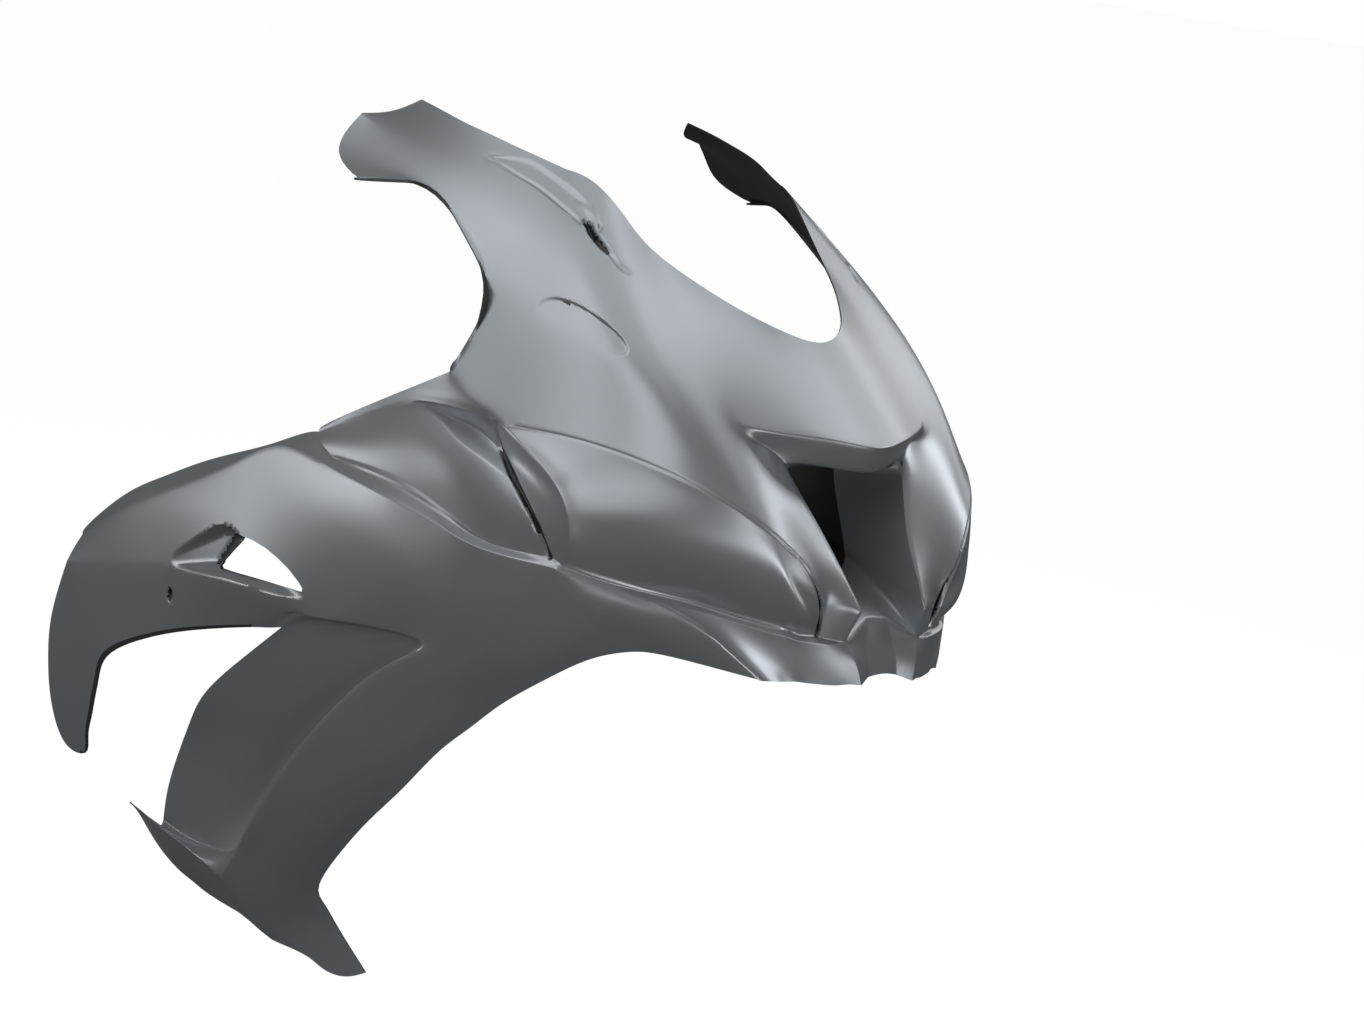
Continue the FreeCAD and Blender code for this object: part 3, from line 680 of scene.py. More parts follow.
@dataclass
class WaveRemoval:
    """Takes the waves out of the calm parts of a surface, which keep their creases and outer edges."""

    stiffness: float = 0.0002
    held_from: float = 0.3
    rounds: int = 400
    least_calm: float = 0.01
    ends: np.ndarray = field(init=False)
    level: np.ndarray = field(init=False)
    free: np.ndarray = field(init=False)
    pull: np.ndarray = field(init=False)
    degree: np.ndarray = field(init=False)

    def read(self, mesh: bpy.types.Mesh) -> None:
        """Note which vertices are free, which must stay level with their neighbours, and who those are.

        Args:
            mesh: The surface, with its creases and its calm faces.
        """
        size = len(mesh.vertices)
        ends = np.empty(2 * len(mesh.edges), np.int32)
        mesh.edges.foreach_get("vertices", ends)
        self.ends = ends.reshape(-1, 2)
        crease = np.empty(len(mesh.edges), np.float32)
        mesh.attributes[EDGE_CREASE].data.foreach_get("value", crease)
        calm = np.empty(len(mesh.polygons), np.float32)
        mesh.attributes[CALM].data.foreach_get("value", calm)
        corner_vertices = np.empty(len(mesh.loops), np.int32)
        mesh.loops.foreach_get("vertex_index", corner_vertices)
        corner_edges = np.empty(len(mesh.loops), np.int32)
        mesh.loops.foreach_get("edge_index", corner_edges)
        totals = np.empty(len(mesh.polygons), np.int32)
        mesh.polygons.foreach_get("loop_total", totals)
        lowest = np.ones(size, np.float32)
        np.minimum.at(lowest, corner_vertices, np.repeat(calm, totals))
        open_edges = np.bincount(corner_edges, minlength=len(mesh.edges)) == 1
        held = np.zeros(size, bool)
        held[self.ends[(crease >= self.held_from) | open_edges].ravel()] = True
        self.level = (~held).astype(float)[:, None]
        self.free = ((lowest > 0) & ~held).astype(float)[:, None]
        self.pull = self.stiffness / np.maximum(lowest, self.least_calm)[:, None]
        self.degree = np.bincount(self.ends.ravel(), minlength=size)[:, None]

    def gathered(self, values: np.ndarray) -> np.ndarray:
        """The sum of each vertex's neighbours.

        Args:
            values: Three numbers for each vertex.

        Returns:
            The sums, in the same form.
        """
        a, b = self.ends.T
        size = len(values)
        return np.stack([np.bincount(a, values[b, axis], size) + np.bincount(b, values[a, axis], size)
                         for axis in range(3)], axis=1)

    def bending(self, values: np.ndarray) -> np.ndarray:
        """How the surface's bending changes with each free vertex.

        Args:
            values: Places or moves of the vertices.

        Returns:
            The change of the bending for a move of each vertex.
        """
        bend = self.level * (self.gathered(values) / self.degree - values)
        return self.free * (self.gathered(bend / self.degree) - bend)

    def apply(self, mesh: bpy.types.Mesh) -> None:
        """Move the free vertices to where the surface bends least, without going far.

        Args:
            mesh: The surface, which is changed in place.
        """
        self.read(mesh)
        start = read_points(mesh)
        left = -self.bending(start)
        move = np.zeros_like(start)
        way = left.copy()
        before = np.sum(left * left)
        for _ in range(self.rounds):
            turned = self.bending(way) + self.free * self.pull * way
            step = before / np.sum(way * turned)
            move += step * way
            left -= step * turned
            after = np.sum(left * left)
            way = left + way * after / before
            before = after
        log.info("waves taken out by up to %.1f mm", np.linalg.norm(move, axis=1).max())
        mesh.vertices.foreach_set("co", ((start + move) * MM).ravel())
        mesh.update()


def smooth_line(points: Line, steps: int = 6) -> np.ndarray:
    """A curve through the points.

    Args:
        points: The points it passes.
        steps: How many short chords stand for each span.

    Returns:
        A dense row of points.
    """
    knots = np.array([points[0], *points, points[-1]], float)
    rows = []
    for a, b, c, d in zip(knots, knots[1:], knots[2:], knots[3:]):
        for step in range(steps):
            t = step / steps
            rows.append(0.5 * (2 * b + (c - a) * t + (2 * a - 5 * b + 4 * c - d) * t**2
                               + (3 * b - a - 3 * c + d) * t**3))
    rows.append(knots[-1])
    return np.array(rows)


def along(path: np.ndarray, points: np.ndarray) -> tuple[np.ndarray, np.ndarray]:
    """How points lie beside a path.

    Args:
        path: A dense row of points.
        points: The points to place.

    Returns:
        Each point's distance from the path, and its share of the way along it.
    """
    best = np.full(len(points), np.inf)
    share = np.zeros(len(points))
    for number, (a, b) in enumerate(zip(path, path[1:])):
        way = b - a
        t = np.clip((points - a) @ way / max(way @ way, 1e-9), 0, 1)
        distance = np.linalg.norm(points - a - t[:, None] * way, axis=1)
        nearer = distance < best
        best[nearer] = distance[nearer]
        share[nearer] = (number + t[nearer]) / (len(path) - 1)
    return best, share


def stretched(values: tuple[float, ...], share: np.ndarray) -> np.ndarray:
    """Values spread evenly along a path, read at shares of its length."""
    return np.interp(share, np.linspace(0, 1, len(values)), values)


def soft_step(share: np.ndarray) -> np.ndarray:
    """A share from 0 to 1 that starts and ends without a kink."""
    return share * share * (3 - 2 * share)


@dataclass(frozen=True)
class Trench:
    """A narrow groove along a line of the shell, or a raised bead where its depth is negative."""

    path: Line
    depths: tuple[float, ...]
    widths: tuple[float, ...]
    one_side: bool = False
    # Whether the deep part of the groove takes the black finish, as painted shade
    blacken: bool = False
    power: float = 2.0
    fine: bool = False
    wide_from: float = 3.0
    near_widths: float = 1.6
    near_extra: float = 1.5

    def depth(self, points: np.ndarray, spread: float = 0.0) -> np.ndarray:
        """How far the surface goes inward at each point.

        Args:
            points: Places on the right-hand side, in millimetres.
            spread: How much wider the form is on this skin.

        Returns:
            A depth for each point.
        """
        distance, share = along(smooth_line(self.path), points)
        fall = (np.maximum(distance - spread, 0) / stretched(self.widths, share)) ** self.power
        return stretched(self.depths, share) * np.exp(-fall)

    def near(self, points: np.ndarray) -> np.ndarray:
        """Which points lie where the groove needs a fine mesh.

        Args:
            points: Places on the right-hand side, in millimetres.

        Returns:
            True or False for each point.
        """
        if min(self.widths) >= self.wide_from and not self.fine:
            return np.zeros(len(points), bool)
        distance, share = along(smooth_line(self.path), points)
        return distance < self.near_widths * stretched(self.widths, share) + self.near_extra


@dataclass(frozen=True)
class Scoop:
    """A leaf-shaped hollow that falls away under its upper edge and rises again to its lower one."""

    upper: Line
    lower: Line
    depths: tuple[float, ...]
    wall: float = 2.4
    rim: float = 1.0
    shoulder: float = 0.4
    reach: float = 3.5
    one_side: bool = False
    fine: bool = True

    def shares(self, points: np.ndarray) -> tuple[np.ndarray, np.ndarray, np.ndarray]:
        """How points lie in the leaf.

        Args:
            points: Places on the right-hand side, in millimetres.

        Returns:
            The share of the way across the leaf, the distance outside it, and the share along it.
        """
        above = along(smooth_line(self.upper), points)[0]
        below, share = along(smooth_line(self.lower), points)
        gaps = tuple(np.linalg.norm(np.subtract(a, b)) for a, b in zip(self.upper, self.lower))
        return above / (above + below + 1e-6), above + below - stretched(gaps, share), share

    def depth(self, points: np.ndarray, spread: float = 0.0) -> np.ndarray:
        """How far the surface goes inward at each point.

        Args:
            points: Places on the right-hand side, in millimetres.
            spread: How much wider the form is on this skin.

        Returns:
            A depth for each point.
        """
        across_it, outside, share = self.shares(points)
        edge = np.clip(1 - (outside - 2 * spread - self.rim) / (2 * self.wall), 0, 1)
        fall = np.clip(across_it / self.shoulder, 0, 1)
        return stretched(self.depths, share) * (1 - across_it) * soft_step(fall) * soft_step(edge)

    def near(self, points: np.ndarray) -> np.ndarray:
        """Which points lie where the leaf needs a fine mesh."""
        return self.shares(points)[1] < self.reach


@dataclass(frozen=True)
class Recess:
    """A shallow oval sunk into the surface, crisp along its upper edge and fading below."""

    centre: Point
    long_way: Point
    cross_way: Point
    half_length: float
    half_width: float
    sunk: float
    wall: float = 1.6
    squareness: float = 2.4
    fade_middle: float = 0.5
    fade_rate: float = 0.6
    zone_length: float = 1.1
    zone_cross: tuple[float, float] = (-0.5, 1.3)
    plain_length: float = 0.6
    plain_cross: float = 0.3
    far_share: float = 9.0
    one_side: bool = False
    fine: bool = False

    def frame(self, points: np.ndarray) -> tuple[np.ndarray, np.ndarray]:
        """The points in the oval's own shares of its half length and half width.

        Args:
            points: Places on the right-hand side, in millimetres.

        Returns:
            The share along the oval and the share across it, upwards.
        """
        gap = points - np.array(self.centre)
        along_it = gap @ np.array(self.long_way) / self.half_length
        across_it = gap @ np.array(self.cross_way) / self.half_width
        along_it[np.linalg.norm(gap, axis=1) > 2 * self.half_length] = self.far_share
        return along_it, across_it

    def depth(self, points: np.ndarray, spread: float = 0.0) -> np.ndarray:
        """How far the surface goes inward at each point.

        Args:
            points: Places on the right-hand side, in millimetres.
            spread: Not used: the oval is too shallow to reach the other skin.

        Returns:
            A depth for each point.
        """
        s, t = self.frame(points)
        radius = (np.abs(s) ** self.squareness + np.abs(t) ** self.squareness + 1e-9) ** 0.5
        wall = np.clip((1 - radius) * self.half_width / self.wall + 0.5, 0, 1)
        fade = np.clip(self.fade_middle + self.fade_rate * t, 0, 1)
        return self.sunk * soft_step(wall) * fade

    def near(self, points: np.ndarray) -> np.ndarray:
        """Which points lie where the oval's crisp edge needs a fine mesh.

        Args:
            points: Places on the right-hand side, in millimetres.

        Returns:
            True or False for each point.
        """
        s, t = self.frame(points)
        low, high = self.zone_cross
        zone = (np.abs(s) < self.zone_length) & (t > low) & (t < high)
        return zone & ((np.abs(s) > self.plain_length) | (t > self.plain_cross))


@dataclass(frozen=True)
class Dimple:
    """A small round hollow."""

    centre: Point
    radius: float
    sunk: float
    near_radii: float = 2.5
    one_side: bool = False
    fine: bool = False

    def depth(self, points: np.ndarray, spread: float = 0.0) -> np.ndarray:
        """How far the surface goes inward at each point.

        Args:
            points: Places on the right-hand side, in millimetres.
            spread: How much wider the form is on this skin.

        Returns:
            A depth for each point.
        """
        distance = np.linalg.norm(points - np.array(self.centre), axis=1)
        return self.sunk * np.exp(-((np.maximum(distance - spread, 0) / self.radius) ** 2))

    def near(self, points: np.ndarray) -> np.ndarray:
        """Which points lie where the hollow needs a fine mesh."""
        return np.linalg.norm(points - np.array(self.centre), axis=1) < self.near_radii * self.radius


@dataclass(frozen=True)
class VentPocket:
    """The pocket of the side vent: a steep upper edge, a floor that falls to the hole, and a lower ramp."""

    upper: Outline
    lower: Outline
    tip: float
    heel: float
    fall: float = 0.17
    rise: float = 0.13
    steep: float = 2.6
    ramp: float = 1.15
    blend: float = 1.6
    outer_side: float = 225.0
    end_room: float = 9.0
    near_room: float = 7.0
    steepest: float = 30.0
    one_side: bool = True
    fine: bool = False

    def heights(self, points: np.ndarray) -> tuple[np.ndarray, np.ndarray]:
        """How points lie between the pocket's edges.

        Args:
            points: Places on the right-hand side, in millimetres.

        Returns:
            The distance below the upper edge, and the distance above the lower one.
        """
        x, z = points[:, 0], points[:, 2]
        top = np.interp(x, *np.array(self.upper).T)
        foot = np.interp(x, *np.array(self.lower).T)
        return top - z, z - foot

    def depth(self, points: np.ndarray, spread: float = 0.0) -> np.ndarray:
        """How far the surface goes inward at each point.

        Args:
            points: Places on the right-hand side, in millimetres.
            spread: How much wider the form is on this skin.

        Returns:
            A depth for each point.
        """
        x = points[:, 0]
        below, above = self.heights(points)
        sides = [self.steep * (below + spread), self.fall * (x - self.tip + spread),
                 self.rise * (self.heel - x + spread), self.ramp * (above + spread)]
        shares = [np.clip(side / self.blend, -self.steepest, self.steepest) for side in sides]
        soft = -self.blend * np.log(sum(np.exp(-share) for share in shares))
        within = (x >= self.tip - self.end_room) & (x <= self.heel + self.end_room)
        return np.where(within & (points[:, 1] >= self.outer_side), np.maximum(soft, 0), 0)

    def near(self, points: np.ndarray) -> np.ndarray:
        """Which points lie where the pocket needs a fine mesh.

        Args:
            points: Places on the right-hand side, in millimetres.

        Returns:
            True or False for each point.
        """
        x = points[:, 0]
        below, above = self.heights(points)
        room = self.near_room
        between = (below > -room) & (above > -room) & (x > self.tip - room - 1) & (x < self.heel + room + 1)
        return between & (points[:, 1] > self.outer_side)


Relief = Trench | Scoop | Recess | Dimple | VentPocket


def mirrored(points: np.ndarray) -> np.ndarray:
    """The points moved over to the side on which the reliefs are drawn."""
    return points * (1, 0, 1) + np.abs(points) * (0, 1, 0)


def sunk_by(reliefs: list[Relief], points: np.ndarray, spread: float) -> np.ndarray:
    """How far the reliefs together take the surface inward.

    Args:
        reliefs: The forms to add up.
        points: Places on the surface, in millimetres.
        spread: How much wider the forms are on this skin.

    Returns:
        A depth for each point.
    """
    total = np.zeros(len(points))
    for relief in reliefs:
        depth = relief.depth(mirrored(points), spread)
        if relief.one_side:
            depth[points[:, 1] > 0] = 0
        total += depth
    return total


def close_to(reliefs: list[Relief], points: np.ndarray) -> np.ndarray:
    """Which points lie near any of the reliefs.

    Args:
        reliefs: The forms.
        points: Places on the surface, in millimetres.

    Returns:
        True or False for each point.
    """
    found = np.zeros(len(points), bool)
    for relief in reliefs:
        near = relief.near(mirrored(points))
        if relief.one_side:
            near &= points[:, 1] < 0
        found |= near
    return found


def laid(path: Line, target: BVHTree) -> Line:
    """The path's points moved onto the right-hand side of the smooth surface."""
    found = [target.find_nearest(Vector((x, -y, z)) * MM)[0] / MM for x, y, z in path]
    return [(point.x, -point.y, point.z) for point in found]


def settled(relief: Relief, target: BVHTree) -> Relief:
    """A relief whose lines lie on the smooth surface.

    Args:
        relief: The form as it was drawn.
        target: The smooth surface.

    Returns:
        The form with its lines moved, or the form itself where it has none.
    """
    if isinstance(relief, Trench):
        return replace(relief, path=laid(relief.path, target))
    if isinstance(relief, Scoop):
        return replace(relief, upper=laid(relief.upper, target), lower=laid(relief.lower, target))
    return relief


def boundary_loops(body: bmesh.types.BMesh) -> list[list[bmesh.types.BMVert]]:
    """The open edges of a surface.

    Args:
        body: The surface.

    Returns:
        Each closed loop's vertices, in the direction of the faces beside it.
    """
    following = {}
    for edge in body.edges:
        if edge.is_boundary:
            corner = edge.link_loops[0]
            following[corner.vert] = corner.link_loop_next.vert
    loops = []
    while following:
        start, vertex = following.popitem()
        loop = [start]
        while vertex is not start:
            loop.append(vertex)
            vertex = following.pop(vertex)
        loops.append(loop)
    return loops


@dataclass
class Surface:
    """One skin of the shell while it is being worked."""

    body: bmesh.types.BMesh
    spoke_reach: float = 9.0
    black_band: float = 7.0
    # Share of a slot's greatest depth beyond which its floor is painted black as painted shade
    painted_shade_from: float = 0.35
    bevel_steps: int = 2

    @classmethod
    def of(cls, mesh: bpy.types.Mesh) -> "Surface":
        """Open a mesh for work.

        Args:
            mesh: The mesh, which is then given up.

        Returns:
            The surface.
        """
        body = bmesh.new()
        body.from_mesh(mesh)
        bpy.data.meshes.remove(mesh)
        return cls(body)

    def points(self) -> np.ndarray:
        """The vertices in millimetres."""
        return np.array([vertex.co for vertex in self.body.verts]) / MM

    def centres(self) -> np.ndarray:
        """The middles of the faces in millimetres."""
        return np.array([face.calc_center_median() for face in self.body.faces]) / MM

    def refine(self, reliefs: list[Relief], cuts: int, target: BVHTree,
               but: list[Relief] | None = None) -> None:
        """Split the faces near the reliefs and lay the new vertices onto the smooth surface.

        Args:
            reliefs: The forms that need a fine mesh.
            cuts: How many cuts each edge gets.
            target: The smooth surface.
            but: Forms whose neighbourhood is left as it is.
        """
        centres = self.centres()
        near = close_to(reliefs, centres) & ~close_to(but or [], centres)
        faces = [face for face, use in zip(self.body.faces, near)
                 if use and not any(edge.is_boundary for edge in face.edges)]
        edges = list({edge for face in faces for edge in face.edges})
        made = bmesh.ops.subdivide_edges(self.body, edges=edges, cuts=cuts, use_grid_fill=True)
        for item in set(made["geom_inner"]):
            if isinstance(item, bmesh.types.BMVert):
                item.co = target.find_nearest(item.co)[0]
        self.body.normal_update()

    def push_in(self, depths: np.ndarray) -> None:
        """Move the vertices inward.

        Args:
            depths: How far each vertex goes, in millimetres.
        """
        normals = [vertex.normal.copy() for vertex in self.body.verts]
        for vertex, normal, depth in zip(self.body.verts, normals, depths):
            vertex.co -= normal * (depth * MM)
        self.body.normal_update()

    def sink(self, reliefs: list[Relief], spread: float = 0.0) -> None:
        """Press the reliefs into the surface, wider by the spread."""
        self.push_in(sunk_by(reliefs, self.points(), spread))

    def offset(self, distance: float) -> None:
        """Move the whole surface inward by a distance in millimetres."""
        self.push_in(np.full(len(self.body.verts), distance))

    def blacken(self, reliefs: list[Relief], edge: Line) -> None:
        """Paint the floors of deep slots black as painted shade, and a black band along a trimmed edge.

        Args:
            reliefs: The forms, among them the slots whose deep floors get painted shade.
            edge: The trimmed edge of the right-hand side.
        """
        path = smooth_line(on_side(edge, Side.RIGHT))
        spokes = [spoke for spoke in self.body.edges
                  if not spoke.is_boundary and any(vertex.is_boundary for vertex in spoke.verts)]
        places = np.array([(spoke.verts[0].co + spoke.verts[1].co) / 2 for spoke in spokes]) / MM
        cut = [spoke for spoke, gap in zip(spokes, along(path, places)[0]) if gap < self.spoke_reach]
        bmesh.ops.subdivide_edges(self.body, edges=cut, cuts=1)
        centres = self.centres()
        for face, gap in zip(self.body.faces, along(path, centres)[0]):
            if gap < self.black_band and any(side.is_boundary for side in face.edges):
                face.material_index = Skin.RAW_AND_SHADE.value
        for slot in reliefs:
            if isinstance(slot, Trench) and slot.blacken:
                for face, depth in zip(self.body.faces, sunk_by([slot], centres, 0.0)):
                    if depth > self.painted_shade_from * max(slot.depths):
                        face.material_index = Skin.RAW_AND_SHADE.value

    def soften_creases(self, share: float) -> None:
        """Round the crisp creases.

        Args:
            share: How far the rounding reaches over the faces beside a crease, in percent.
        """
        crisp = self.body.edges.layers.float[CRISP]
        edges = [edge for edge in self.body.edges if edge[crisp] > 0.5 and not edge.is_boundary]
        bmesh.ops.bevel(self.body, geom=edges, offset=share, offset_type="PERCENT", profile=0.5,
                        segments=self.bevel_steps, affect="EDGES", clamp_overlap=False, material=-1)
        self.body.normal_update()


def zipped(outer: np.ndarray, inner: np.ndarray) -> list[tuple[bool, int, int]]:
    """The triangles between two closed rows of points.

    Args:
        outer: The points of the outer row.
        inner: The points of the inner row, which starts beside the outer one.

    Returns:
        For each triangle, whether it stands on the outer row, and its places in the outer and inner rows.
    """
    steps = []
    i = j = 0
    while i < len(outer) or j < len(inner):
        a, b = outer[i % len(outer)], outer[(i + 1) % len(outer)]
        c, d = inner[j % len(inner)], inner[(j + 1) % len(inner)]
        on_outer = j >= len(inner) or (i < len(outer) and np.sum((b - c) ** 2) <= np.sum((a - d) ** 2))
        steps.append((on_outer, i, j))
        if on_outer:
            i += 1
        else:
            j += 1
    return steps


def rims_between(outer: Surface, inner: Surface) -> list[list[int]]:
    """The triangles that close the shell along the edges of its two skins.

    Args:
        outer: The painted skin, its vertices numbered.
        inner: The inner skin, its vertices numbered.

    Returns:
        The corners of each triangle, those of the inner skin counted on from those of the outer one.
    """
    count = len(outer.body.verts)
    rims = []
    inner_loops = boundary_loops(inner.body)
    for loop in boundary_loops(outer.body):
        ring = np.array([vertex.co for vertex in loop])
        middle = ring.mean(axis=0)
        mate = min(inner_loops, key=lambda other: np.linalg.norm(
            np.mean([vertex.co for vertex in other], axis=0) - middle))
        mate_ring = np.array([vertex.co for vertex in mate])
        start = int(np.argmin(np.linalg.norm(mate_ring - ring[0], axis=1)))
        mate = mate[start:] + mate[:start]
        for on_outer, i, j in zipped(ring, np.roll(mate_ring, -start, axis=0)):
            a = loop[i % len(loop)].index
            c = mate[j % len(mate)].index + count
            if on_outer:
                rims.append([loop[(i + 1) % len(loop)].index, a, c])
            else:
                rims.append([a, c, mate[(j + 1) % len(mate)].index + count])
    return rims


@dataclass
class Shell:
    """The moulded shell: grey primer outside, raw laminate inside."""

    name: str = "fairing_shell"
    outer_levels: int = 3
    base_levels: int = 2
    target_levels: int = 5
    fine_cuts: int = 3
    plain_cuts: int = 2
    crease_share: float = 22.0
    sharp_from: float = 42.0
    wall: float = 1.4
    vent_hole: Outline = (
        (-106, -18), (-84, -16.5), (-62, -17.4), (-41, -20.4), (-20, -25.5), (-3, -32.5), (3.5, -36.5),
        (3, -40), (-7, -42.3), (-50, -48.5), (-143, -61.6), (-149, -60.5), (-149, -55), (-136, -39),
        (-123, -24.5), (-115, -19.5))
    bolt_hole: tuple[float, float] = (-231, -112)
    bolt_radius: float = 3.25
    bolt_pad: Dimple = Dimple(centre=(-231, 245.0, -112), radius=9.0, sunk=5.0, one_side=True)
    circle_steps: int = 24
    cutter_ends: tuple[float, float] = (-300, -200)
    finishes: tuple[bpy.types.Material, ...] = ()

    def reliefs(self) -> list[Relief]:
        """All that is pressed into the shell or raised on it, drawn on the right-hand side.

        Returns:
            The forms, in millimetres.
        """
        rim = LOWER_FLANK
        return [
            VentPocket(upper=((-238, -80), (-229, -74), (-157, -24.5), (-149, -20.5), (-141, -18),
                              (-126, -17), (-106, -20), (-62, -20), (-20, -28), (6, -40), (16, -44)),
                       lower=((-238, -84), (-217, -81.8), (-122, -64.3), (-59, -56), (1, -48), (16, -43.5)),
                       tip=-229, heel=8),
            Recess(centre=(250.6, 192.4, 269.8), long_way=(0.88, 0.19, -0.44),
                   cross_way=(-0.06, -0.86, 0.51), half_length=42, half_width=12.5, sunk=2.2, fine=True),
            Scoop(upper=[(56, 169, 380), (65, 168, 376), (93, 146, 380), (123, 138, 372), (155, 134, 362),
                         (176, 134, 352), (192, 141, 345)],
                  lower=[(58, 170, 378), (72, 168, 374), (98, 161, 365), (125, 155, 359), (161, 152, 348),
                         (178, 150, 342), (196, 147, 337)],
                  depths=(0.0, 0.5, 1.6, 2.4, 3.0, 3.4, 2.0)),
            Trench(path=[(72, 168, 374), (98, 161, 365), (125, 155, 359), (161, 152, 348), (178, 150, 342)],
                   depths=(0.2, 0.8, 1.2, 1.5, 1.4), widths=(1.7,), fine=True),
            Trench(path=[(161, 141, 357), (176, 139, 351), (188, 141, 345)],
                   depths=(-0.4, -1.8, -1.4), widths=(3.6,), fine=True),
            # Slot at the end of the scoop; its deep floor is painted black as painted shade
            Trench(path=[(178, 149, 344), (184.2, 146.2, 342.4), (195.9, 147.7, 335.6),
                         (210.1, 146.7, 328.1), (218.3, 144.8, 323.8), (231.1, 143.8, 316.2),
                         (242.2, 137.4, 310.1)],
                   depths=(1.0, 7.0, 9.0, 7.0, 2.6, 1.2, 0.0), widths=(2.6, 3.0, 3.2, 3.0, 2.6, 3.0, 4.0),
                   power=3.0, blacken=True, fine=True),
            Trench(path=rim[10:2:-1], depths=(0.9, 0.9, 0.9, 0.9, 1.0, 1.2, 1.6, 2.2), widths=(1.3,)),
            # Gap in front of the lamp, down to the ridge foot; its deep part is painted black as painted
            # shade
            Trench(path=[rim[3], rim[2], rim[1], rim[0], LAMP_FRONT, RIDGE_FOOT[0]],
                   depths=(1.2, 3.5, 6.0, 7.0, 6.0, 3.0), widths=(1.4, 1.7, 2.0, 2.2, 2.2, 1.8), power=3.0,
                   blacken=True, fine=True),
            Trench(path=GROOVE_INNER[6:], depths=(-0.6, -1.6, -1.9, -1.9, -1.6, -1.0, -0.4), widths=(1.8,)),
            # Gap behind the lamp; its deep part is painted black as painted shade
            Trench(path=[row[5] for row in CHEEK] + [GROOVE_INNER[5]], depths=(0.6, 2.6, 4.6, 6.0, 4.0),
                   widths=(1.6, 2.0, 2.4, 2.4, 2.0), power=3.0, blacken=True, fine=True),
            Trench(path=CHEEK[0][1:6], depths=(0.1, 0.7, 1.3, 1.5, 1.0), widths=(3.0, 5.0, 6.0, 6.0, 5.0)),
            Trench(path=GROOVE_INNER[:5], depths=(-0.6, -1.8, -2.2, -1.8, -0.4), widths=(2.4,)),
            Dimple(centre=(9.7, 175.0, 391.6), radius=3.0, sunk=0.8),
            Dimple(centre=(-230.5, 247.5, -115.0), radius=5.0, sunk=1.6, one_side=True),
            # Patch at the fastener hole, painted black as painted shade
            Trench(path=[(-230.5, 247.5, -110), (-232.5, 247.5, -118)], depths=(1.2, 1.2), widths=(3.4,),
                   one_side=True, power=4.0, blacken=True, fine=True),
            # Band along the rear edge of the vent hole, painted black as painted shade
            Trench(path=[(-128, 256, -21), (-136, 256, -29), (-144, 254, -42), (-154, 252, -58)],
                   depths=(0.8, 0.8), widths=(5.5, 5.0, 3.0), one_side=True, power=4.0, blacken=True),
        ]

    def build(self) -> bpy.types.Object:
        """Build the shell's mesh and its object.

        Returns:
            The finished piece.
        """
        lines = BodyLines()
        lines.draw()
        cage = Cage.from_lines(lines)
        base = smoothed(cage.mesh(cage.fitted()), self.base_levels)
        WaveRemoval().apply(base)
        target = self.tree(smoothed(eased(base, self.base_levels), self.target_levels - self.base_levels))
        reliefs = [settled(relief, target) for relief in self.reliefs()]
        outer = Surface.of(smoothed(eased(base, self.base_levels), self.outer_levels - self.base_levels))
        self.work_outer(outer, reliefs, target)
        inner = Surface.of(base)
        self.work_inner(inner, reliefs, target)
        piece = self.joined(outer, inner)
        self.bore(piece)
        self.shade(piece)
        self.keep_inside(piece)
        piece.data.calc_loop_triangles()
        return piece

    def work_outer(self, outer: Surface, reliefs: list[Relief], target: BVHTree) -> None:
        """Give the painted skin its surface detail.

        Args:
            outer: The skin.
            reliefs: The forms, laid onto the smooth surface.
            target: The smooth surface.
        """
        fine = [relief for relief in reliefs if relief.fine]
        outer.refine(fine, self.fine_cuts, target)
        outer.refine([relief for relief in reliefs if not relief.fine], self.plain_cuts, target, fine)
        # Black band along the trimmed edge of the arm and tab, and painted shade in the deep slots
        outer.blacken(reliefs, [row[3] for row in ARM[3:]] + [row[1] for row in TAB])
        outer.sink(reliefs)
        outer.soften_creases(self.crease_share)

    def work_inner(self, inner: Surface, reliefs: list[Relief], target: BVHTree) -> None:
        """Set the inner skin at the wall's distance, clear of the forms in the painted one.

        Args:
            inner: The skin, still in the place of the painted one.
            reliefs: The forms, laid onto the smooth surface.
            target: The smooth surface.
        """
        deep = [relief for relief in reliefs if isinstance(relief, (VentPocket, Scoop))]
        inner.refine(deep, self.plain_cuts, target)
        inner.refine([self.bolt_pad], self.plain_cuts, target)
        inner.sink(reliefs + [self.bolt_pad], self.wall)
        inner.offset(self.wall)

    @staticmethod
    def keep_inside(piece: bpy.types.Object) -> None:
        """Hold the mesh inside the box of the solid that it stands for.

        Args:
            piece: The object that carries the mesh.
        """
        flat = np.empty(len(piece.data.vertices) * 3)
        piece.data.vertices.foreach_get("co", flat)
        low, high = START_BOUNDS
        inside = np.clip(flat.reshape(-1, 3), np.array(low), np.array(high))
        piece.data.vertices.foreach_set("co", inside.ravel())
        piece.data.update()

    @staticmethod
    def tree(mesh: bpy.types.Mesh) -> BVHTree:
        """A search tree over a mesh.

        Args:
            mesh: The mesh, which is then given up.

        Returns:
            The tree.
        """
        body = bmesh.new()
        body.from_mesh(mesh)
        tree = BVHTree.FromBMesh(body)
        body.free()
        bpy.data.meshes.remove(mesh)
        return tree

